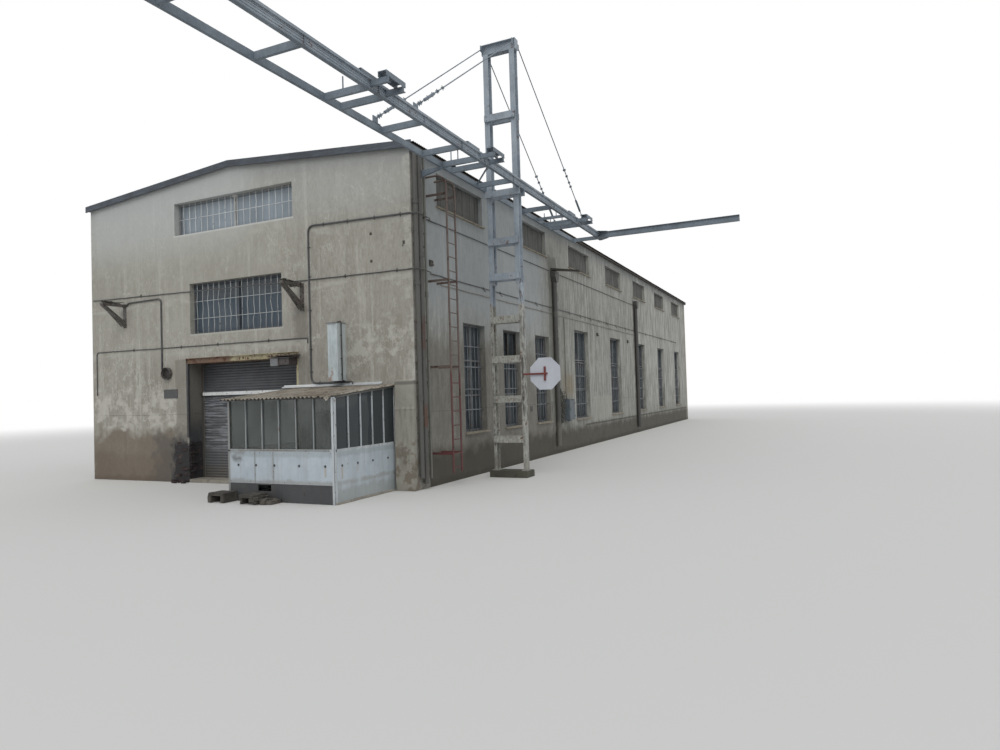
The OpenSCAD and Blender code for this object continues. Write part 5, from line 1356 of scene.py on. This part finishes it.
    def duct_pipe(self) -> None:
        """Leads the black pipe down the duct's right edge from its lid to the wall's foot conduit."""
        shape = Shape()
        route = [(3.2, -16.19, 3.59), (3.3, -16.19, 3.6), (3.302, -16.19, 3.2), (3.3, -16.185, 2.33),
                 (3.33, -16.1, 2.305), (3.46, -16.06, 2.3), (3.475, -16.06, 2.245)]
        shape.tube(rounded(route, 0.03), 0.014, 10)
        for z in (3.3, 2.8, 2.45):
            shape.ring((3.301, -16.19, z), (0, 0, 1), 0.016, 0.004, 16)
            shape.bar((3.268, -16.19, z), (3.3, -16.19, z), 0.02, 0.004)
        shape.piece("duct_edge_pipe", Coat.BLACK_STEEL, "duct_sheet", smooth=True)

    def fixings(self) -> None:
        """Drives one row of bolts through the panels and small screws along their edges."""
        screws = Shape()
        for x in (2.15, 2.60, 3.06, 3.66, 4.27):
            screws.bolt((x, self.front, 0.7), (0, -1, 0), 0.03)
        for y in (-17.8, -17.32, -16.825, -16.3):
            for x, out in ((self.right, 1), (self.left, -1)):
                screws.bolt((x, y, 0.7), (out, 0, 0), 0.028)
        for x in (1.95, 2.45, 2.7, 2.95, 3.3, 3.9, 4.4):
            for z in (0.385, 0.94):
                screws.bolt((x, self.front, z), (0, -1, 0), 0.009)
        screws.piece("annex_panel_bolts", Coat.PIPE, "annex_paint")

    def trims(self) -> None:
        """Covers the panel joints and the corner with folded strips, and grouts the side's foot."""
        strips = Shape()
        for x in (2.57, 3.03):
            strips.box((x - 0.012, self.front - 0.005, 0.352), (x + 0.012, self.front + 0.001, 0.962))
        strips.box((self.right - 0.05, self.front - 0.004, 0.0), (self.right + 0.004, self.front + 0.001, 1.975))
        strips.box((self.right - 0.001, self.front - 0.004, 0.0), (self.right + 0.004, self.front + 0.045, 1.975))
        for k in range(3):
            strips.bar((self.left + 0.02 + k * 0.87, self.front - 0.005, self.sill - 0.008),
                       (self.left + 0.86 + k * 0.87, self.front - 0.005, self.sill - 0.006), 0.02, 0.012)
        strips.piece("annex_joint_strips", Coat.FRAME_PAINT, "annex_paint")
        foot = Shape()
        levels = [self.front + 0.02 + 1.9 * k / 12 for k in range(13)]
        rings = []
        for y in levels:
            wide, high = 0.045 + self.rng.uniform(-0.012, 0.012), 0.035 + self.rng.uniform(-0.008, 0.01)
            rings.append([(self.right - 0.002, y, 0.0), (self.right + wide, y, 0.0),
                          (self.right + wide * 0.8, y, high * 0.6),
                          (self.right + 0.008, y, high), (self.right - 0.002, y, high)])
        foot.loft(rings)
        foot.piece("annex_foot_mortar", Coat.CONCRETE, "concrete")

    def steps(self) -> None:
        """Stacks the broken blocks before the door: one hollow, one on rubble and one low."""
        shape = Shape()
        y0, y1 = -18.4, self.front - 0.005
        for x in (1.7, 2.03):
            shape.stone((x, y0, 0.0), (x + 0.085, y1, 0.15), self.rng, 0.006, 0.15)
        shape.stone((1.7, y1 - 0.09, 0.0), (2.115, y1, 0.16), self.rng, 0.005, 0.15)
        shape.stone((1.705, y0 + 0.01, 0.135), (2.11, y1, 0.192), self.rng, 0.006, 0.12)
        shape.stone((2.53, -18.425, 0.12), (2.86, y1, 0.178), self.rng, 0.008, 0.15)
        shape.stone((2.53, -18.40, 0.0), (2.585, y1, 0.13), self.rng, 0.007, 0.3)
        shape.stone((2.55, y1 - 0.1, 0.0), (2.9, y1, 0.14), self.rng, 0.006, 0.3)
        for _ in range(26):
            x, y = self.rng.uniform(2.78, 2.93), self.rng.uniform(-18.39, -18.09)
            size, z = self.rng.uniform(0.03, 0.055), self.rng.uniform(0.0, 0.1)
            shape.stone((x - size, y - size, z), (x + size, y + size, z + size * 1.3), self.rng, 0.009, 0.45)
        shape.stone((2.97, -18.365, 0.0), (3.12, -18.12, 0.1), self.rng, 0.01, 0.3)
        shape.stone((3.1, -18.33, 0.0), (3.23, y1, 0.075), self.rng, 0.01, 0.35)
        shape.stone((2.96, -18.15, 0.0), (3.12, y1, 0.085), self.rng, 0.008, 0.3)
        shape.piece("annex_steps_broken", Coat.RUBBLE, "concrete", ["annex_steps"])


@dataclass
class PipeBridge:
    """Pylon and the pipe bridge that it carries."""

    inner: float = 5.572
    outer: float = 6.38
    pylon_y: float = -13.4
    leg_deep: float = 0.18
    beam_top: float = 6.9
    beam_low: float = 6.72
    inner_top: float = 6.84
    front: float = -22.75
    rear: float = -6.9
    battens: tuple[float, ...] = (0.88, 1.81, 2.74, 3.67, 4.675, 5.51, 8.46)
    singles: tuple[float, ...] = (-22.53, -20.945, -17.80, -16.38, -13.89, -11.25, -7.05)
    pairs: tuple[float, ...] = (-19.2, -15.38, -9.2)
    rng: random.Random = field(default_factory=lambda: random.Random(33))

    def build(self) -> None:
        """Dresses the nodes and makes the bolts, the pipe lines, the gussets and the stay clamps."""
        dress({"pylon_plinth": Coat.MOSSY_CONCRETE, "pylon_legs": Coat.PYLON, "pylon_battens": Coat.PYLON,
               "pylon_cap": Coat.PYLON,
               "inner_beam": Coat.BRIDGE, "outer_beam": Coat.BRIDGE, "cross_members": Coat.BRIDGE,
               "saddles": Coat.BRIDGE,
               "bridge_conduits": Coat.PYLON, "bridge_bracket": Coat.BRIDGE, "branch_beam": Coat.BRIDGE,
               "stays": Coat.BRIDGE,
               "blank_plate": Coat.PLATE, "plate_bracket": Coat.BRACKET})
        self.bolts()
        self.lines()
        self.gussets()
        self.clamps()

    def bolts(self) -> None:
        """Bolts the battens to the legs and the cross members to the beams."""
        bolts = Shape()
        face = self.pylon_y - self.leg_deep / 2 - 0.0603
        for z in self.battens:
            for x in (self.inner + 0.07, self.outer - 0.07):
                for dz in (-0.045, 0.045):
                    bolts.bolt((x, face, z + dz), (0, -1, 0))
                    bolts.bolt((x, 2 * self.pylon_y - face, z + dz), (0, 1, 0))
        bolts.piece("pylon_bolts", Coat.PYLON, "pylon_steel")
        ends = Shape()
        for y in (*self.singles, *(p + d for p in self.pairs for d in (-0.21, 0.21))):
            for dz in (-0.03, 0.03):
                ends.bolt((self.outer + 0.0085, y, self.beam_low + 0.09 + dz), (1, 0, 0), 0.022)
                ends.bolt((self.inner - 0.0555, y, self.beam_low + 0.06 + dz), (-1, 0, 0), 0.022)
        ends.piece("bridge_bolts", Coat.BRIDGE, "bridge_steel")

    def lines(self) -> None:
        """Runs the bundle of thin conduits in the outer beam's channel, strapped at the cross members."""
        lines = Shape()
        runs = ((6.752, 0.017), (6.790, 0.020), (6.829, 0.018), (6.864, 0.014))
        members = sorted((*self.singles, *self.pairs))
        straps = [y for y in members if self.front + 0.3 < y < self.rear - 0.3]
        for z, radius in runs:
            stops = [self.front + 0.06, *straps, self.rear - 0.12]
            path = []
            for a, b in zip(stops, stops[1:]):
                sag = self.rng.uniform(0.001, 0.005)
                path += [(6.408 + radius + 0.002, a + (b - a) * t / 6,
                          z - sag * math.sin(math.pi * t / 6)) for t in range(6)]
            path.append((6.408 + radius + 0.002, stops[-1], z))
            lines.tube(path, radius, 10)
        lines.piece("bridge_pipe_lines", Coat.PYLON, "bridge_steel", smooth=True)
        bands = Shape()
        x, edge = 6.4535, 0.012
        for y in straps:
            bands.bar((x, y, self.beam_low + edge), (x, y, self.beam_top - edge), 0.035, 0.004, (0, 1, 0))
        bands.piece("bridge_line_straps", Coat.BRIDGE, "bridge_steel")

    def gussets(self) -> None:
        """Adds the gusset at the branch's joint and at the front stay's plate."""
        plates = Shape()
        for z in (self.beam_low - 0.006, self.beam_top + 0.006):
            outline = [(6.38, -7.44), (6.38, -6.92), (6.46, -6.92), (6.74, -7.14), (6.74, -7.26), (6.46, -7.44)]
            plates.loft([[(x, y, z + d) for x, y in outline] for d in (-0.005, 0.005)])
            for x, y in ((6.42, -7.38), (6.42, -7.0), (6.68, -7.17), (6.68, -7.23)):
                plates.bolt((x, y, z + math.copysign(0.005, z - 6.8)), (0, 0, math.copysign(1, z - 6.8)))
        for x, top, wide in ((5.5445, self.inner_top, 0.035), (6.415, self.beam_top, 0.0)):
            for y in (-18.0, -8.57):
                plates.box((x - 0.04, y - 0.12, top + 0.0005), (x + wide, y + 0.12, top + 0.012))
                for dy in (-0.09, 0.09):
                    plates.bolt((x - 0.027, y + dy, top + 0.012), (0, 0, 1), 0.02)
        plates.piece("bridge_gussets", Coat.BRIDGE, "bridge_steel")
        light = Shape()
        for y, high in ((-10.2, 0.075), (-9.72, 0.045)):
            web = ((-0.022, 0.0), (0.022, 0.0), (0.022, 0.006), (-0.016, 0.006),
                   (-0.016, high - 0.006), (0.022, high - 0.006), (0.022, high), (-0.022, high))
            light.profile((self.inner, y, 6.745), (self.outer, y, 6.745), (0, 1, 0), (0, 0, 1), web)
            for dx in (0.2, 0.55):
                light.tube([(self.inner + dx, y, 6.745 + high), (self.inner + dx, y, 6.93)], 0.012, 10)
        light.piece("bridge_light_members", Coat.BRIDGE, "bridge_steel")

    def clamps(self) -> None:
        """Clamps each stay near its lower end and hooks its eyes with shackles."""
        clamps = Shape()
        top = 10.135
        front_links = ((0.5, 0.03), (0.72, 0.026), (0.95, 0.03), (1.2, 0.026))
        rear_links = ((1.3, 0.03), (1.45, 0.028), (1.68, 0.03), (1.9, 0.036))
        for x_low, z_low, x_top in ((5.5445, self.inner_top, 5.572), (6.39, self.beam_top, 6.38)):
            for y_low, y_top in ((-18.0, self.pylon_y - 0.15), (-8.57, self.pylon_y + 0.15)):
                a = Vector((x_low, y_low, z_low + 0.09))
                v = (Vector((x_top, y_top, top)) - a).normalized()
                links = front_links if y_low < self.pylon_y else rear_links
                for at, size in ((0.12, 0.03), (0.2, 0.026), *links):
                    side = v.cross(Vector((1, 0, 0))).normalized()
                    clamps.bar(a + v * at, a + v * (at + 0.035), size * 2, size * 1.5, (1, 0, 0))
                    clamps.tube([a + v * (at + 0.017) + side * 0.045, a + v * (at + 0.017) - side * 0.045], 0.008,
                                8)
                clamps.ring(a - v * 0.005, (1, 0, 0), 0.034, 0.009)
        clamps.piece("stay_clamps", Coat.BRIDGE, "bridge_steel")


@dataclass
class WallFittings:
    """Conduits, pipes, brackets, vent, cabinet and ladder on the walls."""

    cabinet: tuple[float, float, float] = (-6.67, 1.02, 1.68)
    pipe_z: float = 5.75
    cable_z: float = 4.59
    thin_z: float = 4.4
    vent: tuple[float, float] = (-2.18, 2.69)
    downpipes: tuple[float, float] = (-7.65, 2.96)
    rng: random.Random = field(default_factory=lambda: random.Random(5))

    def build(self) -> None:
        """Dresses the nodes and makes the clips, sleeves, valves and plates."""
        dress({"wall_brackets": Coat.WEATHERED_STEEL, "wall_vent": Coat.WEATHERED_STEEL,
               "corner_pipes": Coat.PIPE, "downpipes": Coat.PIPE, "wall_cabinet": Coat.CABINET,
               "ladder": Coat.LADDER})
        self.struts()
        self.plates()
        self.conduits()
        self.clips()
        self.sleeves()
        self.valves()
        self.cabinet_trim()

    def struts(self) -> None:
        """Lays loose strips down each bracket's strut and a tangle of old strips on its arm."""
        shape = Shape()
        for x in (2.1, -3.72):
            for off in (-0.055, -0.02, 0.018, 0.055):
                end = -16.03 + self.rng.uniform(-0.02, 0.01)
                tip = (x + off, -16.655 + self.rng.uniform(0, 0.03), 4.515)
                foot = (x + off * 1.3, end, 3.96 + self.rng.uniform(-0.06, 0.03))
                shape.bar(tip, foot, 0.022, 0.02, (1, 0, 0))
            for _ in range(16):
                y0, y1 = self.rng.uniform(-16.66, -16.45), self.rng.uniform(-16.4, -16.08)
                a = (x + self.rng.uniform(-0.07, 0.07), y0, 4.545 + self.rng.uniform(0, 0.04))
                b = (x + self.rng.uniform(-0.1, 0.1), y1,
                     4.545 - self.rng.uniform(-0.03, 0.12) * (self.rng.random() < 0.6))
                shape.bar(a, b, self.rng.uniform(0.01, 0.03), 0.008, (1, 0, 0.3))
        shape.piece("bracket_strips", Coat.WEATHERED_STEEL, "rusty_steel")

    def plates(self) -> None:
        """Screws a blank plate to the front wall, a louvred one to the side wall and a flap in the vent."""
        plate = Shape()
        plate.box((-2.33, -16.012, 2.07), (-1.86, FRONT_Y, 2.29))
        for x in (-2.31, -1.88):
            for z in (2.09, 2.27):
                plate.bolt((x, -16.012, z), (0, -1, 0), 0.014)
        plate.box((SIDE_X, -9.775, 1.405), (5.012, -9.625, 1.555))
        for k in range(5):
            plate.bar((5.014, -9.765, 1.425 + k * 0.026), (5.014, -9.635, 1.425 + k * 0.026), 0.006, 0.012)
        plate.piece("blank_wall_plate", Coat.PIPE, "pipe_steel")
        grate = Shape()
        x, middle = self.vent
        for k in range(5):
            z = middle - 0.08 + k * 0.04
            half = math.sqrt(0.133 ** 2 - (z - middle) ** 2)
            grate.bar((x - half, -16.03, z), (x + half, -16.03, z), 0.02, 0.004, (0, 1, 0.7))
        grate.ring((x, -16.088, middle), (0, 1, 0), 0.143, 0.008, 32)
        grate.piece("vent_louvre", Coat.BLACK_STEEL, "pipe_steel")

    def conduits(self) -> None:
        """Bends the conduits and cables to their routes, sagging a little between their clips."""
        shape = Shape()
        front, side = FRONT_Y - SEAT, SIDE_X + SEAT
        routes: list[tuple[float, float, list[tuple[float, float, float]]]] = []
        for d, bend, turns in (
                (0.04, 0.17, [(SIDE_X, self.pipe_z), (2.32, 5.815), (2.32, 2.295), (3.36, 2.295)]),
                (0.024, 0.05, [(SIDE_X, self.cable_z), (2.34, 4.61)]),
                (0.024, 0.05, [(2.30, 4.61), (-4.93, 4.73)]),
                (0.024, 0.04, [(2.24, 3.2), (2.24, 3.32), (-2.34, 3.33)]),
                (0.024, 0.1, [(-2.40, 3.33), (-4.82, 3.345), (-4.82, 2.2)]),
                (0.04, 0.12, [(-3.645, 4.49), (-3.55, 4.56), (-2.37, 4.58), (-2.37, 2.79)])):
            routes.append((d, bend, [(x, front - d / 2, z) for x, z in turns]))
        for d, turns in ((0.024, [(FRONT_Y, self.pipe_z), (-7.91, 5.74)]),
                         (0.024, [(-7.39, 5.74), (2.84, self.pipe_z)]),
                         (0.024, [(-14.85, self.cable_z), (-7.8, self.cable_z)]),
                         (0.024, [(-7.5, self.cable_z), (2.84, self.cable_z)]),
                         (0.024, [(-14.85, self.thin_z), (-7.8, self.thin_z)]),
                         (0.024, [(-7.5, self.thin_z), (2.84, self.thin_z)]),
                         (0.04, [(-6.67, 1.6803), (-6.67, 4.34)]),
                         (0.024, [(3.08, self.cable_z), (12.95, self.cable_z)])):
            routes.append((d, 0.05, [(side + d / 2, y, z) for y, z in turns]))
        for z in (self.pipe_z, self.cable_z):
            routes.append((0.024, 0.05,
                           [(4.9, front - 0.012, z), (5.14, front - 0.012, z), (5.16, -15.9, z),
                            (5.16, -15.5, z - 0.02),
                                     (5.03, -15.3, z - 0.01), (side + 0.012, -14.85, z)]))
        for d, bend, turns in routes:
            path: list[Vector] = []
            smooth = rounded(turns, bend, 7)
            for a, b in zip(smooth, smooth[1:]):
                n = max(1, round((b - a).length / 0.25))
                flat = abs(b.z - a.z) < 0.2
                for k in range(n):
                    sag = self.rng.uniform(0, 0.007) * flat * (d < 0.03)
                    path.append(a.lerp(b, k / n) - Vector((0, 0, sag)))
            shape.tube(path + [smooth[-1]], d / 2, 12)
        shape.piece("wall_conduits_fine", Coat.PIPE, "pipe_steel", ["wall_conduits"], smooth=True)

    def clips(self) -> None:
        """Straps the conduits and cables to the walls, and leaves old anchors in the plaster."""
        clips = Shape()
        for z in (5.33, 4.67, 3.92, 3.05, 2.55):
            clips.clip((2.32, FRONT_Y, z), (0, -1, 0), (0, 0, 1), 0.042)
        for x in (2.75, 3.4, 4.1, 4.75):
            z = self.pipe_z + 0.06 * (5 - x) / 2.5
            clips.clip((x, FRONT_Y, z), (0, -1, 0), (1, 0, 0), 0.042)
        for x, z in ((4.63, 4.592), (3.3, 4.602), (1.2, 4.64), (-0.9, 4.68), (-3.1, 4.71), (-0.48, 3.324),
                     (1.1, 3.321),
                     (-1.7, 3.327), (-3.4, 3.335)):
            clips.clip((x, FRONT_Y, z), (0, -1, 0), (1, 0, 0), 0.026, 0.03)
        for x in (2.55, 3.15):
            clips.clip((x, FRONT_Y, 2.295), (0, -1, 0), (1, 0, 0), 0.042)
        beside = (-12.66, -11.66, -10.4, -9.12, -6.19, -5.0, -3.78, -2.7, -1.6, -0.3, 1.2, 5.0, 8.5, 11.5)
        for y in beside:
            clips.clip((SIDE_X, y, self.cable_z), (1, 0, 0), (0, 1, 0), 0.026, 0.03)
            clips.bar((SIDE_X, y + 0.05, 4.555), (5.05, y + 0.05, 4.5), 0.02, 0.012, (0, 1, 0))
            if y < 2.5:
                clips.clip((SIDE_X, y + 0.4, self.thin_z), (1, 0, 0), (0, 1, 0), 0.026, 0.02)
        for z in (2.0, 2.9, 3.7):
            clips.clip((SIDE_X, -6.67, z), (1, 0, 0), (0, 0, 1), 0.042)
        clips.piece("conduit_clips", Coat.PIPE, "pipe_steel")
        anchors = Shape()
        for x, z in ((3.99, 5.44), (3.99, 4.85), (4.81, 5.18), (4.79, 5.1)):
            anchors.tube([(x, -15.99, z), (x + 0.002, -16.018, z - 0.003)], 0.014, 9)
        for y, z in ((-15.25, 4.82), (-2.97, 4.05), (1.56, 4.03)):
            anchors.stone((4.99, y - 0.05, z - 0.06), (5.05, y + 0.05, z + 0.06), self.rng, 0.012, 0.5)
            anchors.tube([(4.99, y + 0.03, z), (5.06, y + 0.035, z - 0.02), (5.075, y + 0.035, z - 0.06)], 0.007,
                         8)
        anchors.piece("old_wall_anchors", Coat.VALVE, "pipe_steel")

    def sleeves(self) -> None:
        """Joins the corner pipes and the downpipes with their sleeves and holds them with pipe bands."""
        shape = Shape()
        corner = ((-15.938, 0.099, (1.9, 4.3, 6.0)), (-15.788, 0.1125, (0.66, 2.79, 4.9)),
                  (-15.53, 0.052, (2.2, 4.1, 5.8)))
        sleeve = ((0.009, -0.05, 0.05), (0.016, -0.05, -0.036), (0.016, 0.036, 0.05))
        for y, d, levels in corner:
            x = 5.03 + d / 2
            for z in levels:
                for lip, low, high in sleeve:
                    shape.tube([(x, y, z + low), (x, y, z + high)], d / 2 + lip, 20)
            for z in (1.5, 3.5, 5.4):
                for edge in (y - d / 2 - 0.01, y + d / 2 + 0.01):
                    shape.bar((SIDE_X, edge, z), (x, edge, z), 0.025, 0.004)
                shape.tube([(x, y, z - 0.0125), (x, y, z + 0.0125)], d / 2 + 0.006, 20)
        for y in self.downpipes:
            for z in (0.9, 2.2, 3.6, 5.0):
                shape.tube([(5.076, y, z - 0.04), (5.076, y, z + 0.04)], 0.084, 22)
                shape.tube([(5.076, y, z + 0.25), (5.076, y, z + 0.272)], 0.08, 22)
        shape.piece("pipe_sleeves", Coat.PIPE, "pipe_steel")

    def valves(self) -> None:
        """Hangs the rusty cluster of valves and short pipes between the downpipe and the cabinet."""
        shape = Shape()
        for y, low, high, r in ((-7.4, 0.95, 2.02, 0.026), (-7.24, 1.0, 1.9, 0.021), (-7.1, 1.12, 1.78, 0.018)):
            shape.tube([(SIDE_X, y, high + 0.05), (5.05, y, high + 0.045), (5.078, y, high), (5.078, y, low),
                        (5.06, y, low - 0.04),
                        (SIDE_X, y, low - 0.05)], r, 12)
            for z in (low + 0.1, (low + high) / 2, high - 0.12):
                shape.tube([(5.078, y, z - 0.012), (5.078, y, z + 0.012)], r * 1.9, 14)
                shape.tube([(5.078, y, z + 0.03), (5.078, y, z + 0.05)], r * 1.9, 14)
        for y, z, reach in ((-7.4, 1.62, 0.06), (-7.24, 1.32, 0.05), (-7.1, 1.5, 0.042), (-7.4, 1.2, 0.05)):
            shape.stone((5.04, y - 0.05, z - 0.055), (5.12, y + 0.05, z + 0.055), self.rng, 0.004, 0.6)
            shape.tube([(5.1, y, z), (5.16, y, z)], 0.009, 8)
            shape.ring((5.158, y, z), (1, 0, 0), reach, 0.007)
            for k in range(3):
                d = Vector((0, math.cos(k * math.tau / 3), math.sin(k * math.tau / 3))) * reach
                shape.tube([(5.158, y, z), Vector((5.158, y, z)) + d], 0.005, 6)
        for z in (1.08, 1.44, 1.82):
            shape.tube([(5.078, -7.6, z), (5.078, -7.12, z)], 0.017, 10)
        for k in range(9):
            z = 1.0 + k * 0.115
            y = self.rng.uniform(-7.5, -7.05)
            loop = [(5.02, y, z), (5.09, y + 0.05, z + 0.03), (5.1, y + 0.11, z - 0.02),
                    (5.01, y + 0.16, z - 0.05)]
            shape.tube(loop, 0.008, 8)
        shape.piece("valve_cluster", Coat.VALVE, "pipe_steel")

    def cabinet_trim(self) -> None:
        """Gives the cabinet its rain lip, hinges, latch and glands."""
        y, z0, z1 = self.cabinet
        face = 5.2125
        trim = Shape()
        trim.bar((SIDE_X, y, z1 + 0.006), (5.225, y, z1 + 0.002), 0.56, 0.006, (0, 1, 0))
        for z in (z0 + 0.12, z1 - 0.12):
            trim.tube([(face + 0.004, y + 0.262, z - 0.035), (face + 0.004, y + 0.262, z + 0.035)], 0.008, 10)
        trim.bar((face + 0.003, y - 0.22, z0 + 0.3), (face + 0.003, y - 0.22, z0 + 0.4), 0.03, 0.008, (0, 1, 0))
        latch, z = y - 0.22, z0 + 0.36
        trim.tube([(face, latch, z), (face + 0.03, latch, z), (face + 0.034, latch, z0 + 0.31)], 0.006, 8)
        for dy in (-0.16, -0.05, 0.1):
            trim.tube([(5.1, y + dy, z0 - 0.05), (5.1, y + dy, z0 + 0.005)], 0.016, 12)
        trim.piece("cabinet_trim", Coat.CABINET, "cabinet_paint")


@dataclass
class Studio:
    """Floor, light and camera."""

    place: tuple[float, float, float] = (12.613, -28.357, 1.953)
    yaw: float = 0.431
    pitch: float = 0.026
    roll: float = -0.030
    lens: float = 25.123

    def build(self) -> None:
        """Sets the view, the floor, the soft light and the camera."""
        bpy.context.scene.view_settings.view_transform = "Standard"
        self.floor()
        self.light()
        self.camera()

    def camera(self) -> None:
        """Stands the camera where the photo was taken, with its turn, tilt and roll."""
        scene = bpy.context.scene
        level = math.cos(self.pitch)
        fwd = Vector((-math.sin(self.yaw) * level, math.cos(self.yaw) * level, math.sin(self.pitch)))
        right = Vector((math.cos(self.yaw), math.sin(self.yaw), 0))
        up = right.cross(fwd)
        x = right * math.cos(self.roll) + up * math.sin(self.roll)
        y = up * math.cos(self.roll) - right * math.sin(self.roll)
        data = bpy.data.cameras.new("camera")
        data.sensor_width, data.lens, data.clip_end = 36.0, self.lens, 500.0
        camera = bpy.data.objects.new("camera", data)
        camera.matrix_world = Matrix((x, y, -fwd)).transposed().to_4x4()
        camera.location = self.place
        scene.collection.objects.link(camera)
        scene.camera = camera

    def floor(self) -> None:
        """Lays a pale floor that fades to white far out and keeps the building's shadow."""
        g = Graph("studio_floor")
        far = g.add("VectorMath", {0: g.place}, out="Value", operation="LENGTH")
        fade = g.add("MapRange", {"Value": far, "From Min": 24.0, "From Max": 60.0},
                     interpolation_type="SMOOTHSTEP")
        ray = g.add("LightPath", out="Is Camera Ray")
        mask = g.add("Math", {0: fade, 1: ray}, operation="MULTIPLY")
        matte = g.add("BsdfPrincipled", {"Base Color": linear("#d6d5d2"), "Roughness": 0.9})
        white = g.add("Emission", {"Color": (1, 1, 1, 1), "Strength": 1.0})
        g.add("OutputMaterial", {"Surface": g.add("MixShader", {0: mask, 1: matte, 2: white})})
        mesh = bpy.data.meshes.new("studio_floor")
        corners = [(250 * i, 250 * j, -0.003) for i, j in ((-1, -1), (1, -1), (1, 1), (-1, 1))]
        mesh.from_pydata(corners, [], [(0, 1, 2, 3)])
        mesh.materials.append(g.material)
        item = bpy.data.objects.new("studio_floor", mesh)
        bpy.context.scene.collection.objects.link(item)

    def light(self) -> None:
        """Lights the building like an even pale sky with a soft lamp from the front left."""
        world = bpy.data.worlds.new("studio")
        bpy.context.scene.world = world
        world.use_nodes = True
        tree = Tree(world.node_tree)
        seen, *others = (tree.add("LightPath", out=f"Is {ray} Ray") for ray in ("Camera", "Glossy",
                                                                                "Transmission"))
        for other in others:
            seen = tree.add("Math", {0: seen, 1: other}, operation="MAXIMUM")
        sky = tree.add("Background", {"Color": linear("#eef2f6"), "Strength": 0.72})
        white = tree.add("Background", {"Color": linear("#ffffff"), "Strength": 1.0})
        tree.add("OutputWorld", {"Surface": tree.add("MixShader", {0: seen, 1: sky, 2: white})})
        lamp = bpy.data.lights.new("soft_lamp", "SUN")
        lamp.energy, lamp.angle, lamp.color = 1.0, math.radians(35), (1.0, 0.98, 0.95)
        item = bpy.data.objects.new("soft_lamp", lamp)
        item.rotation_euler = Vector((0.35, -0.75, 0.85)).to_track_quat("Z", "Y").to_euler()
        bpy.context.scene.collection.objects.link(item)


def main() -> None:
    """Builds the sub-assemblies in order and logs each one as it is done."""
    logging.basicConfig(level=logging.INFO, format="%(name)s: %(message)s")
    for part in (Studio(), Hall(), Annex(), PipeBridge(), WallFittings()):
        part.build()
        LOG.info("%s done", type(part).__name__)


if __name__ == "__main__":
    main()
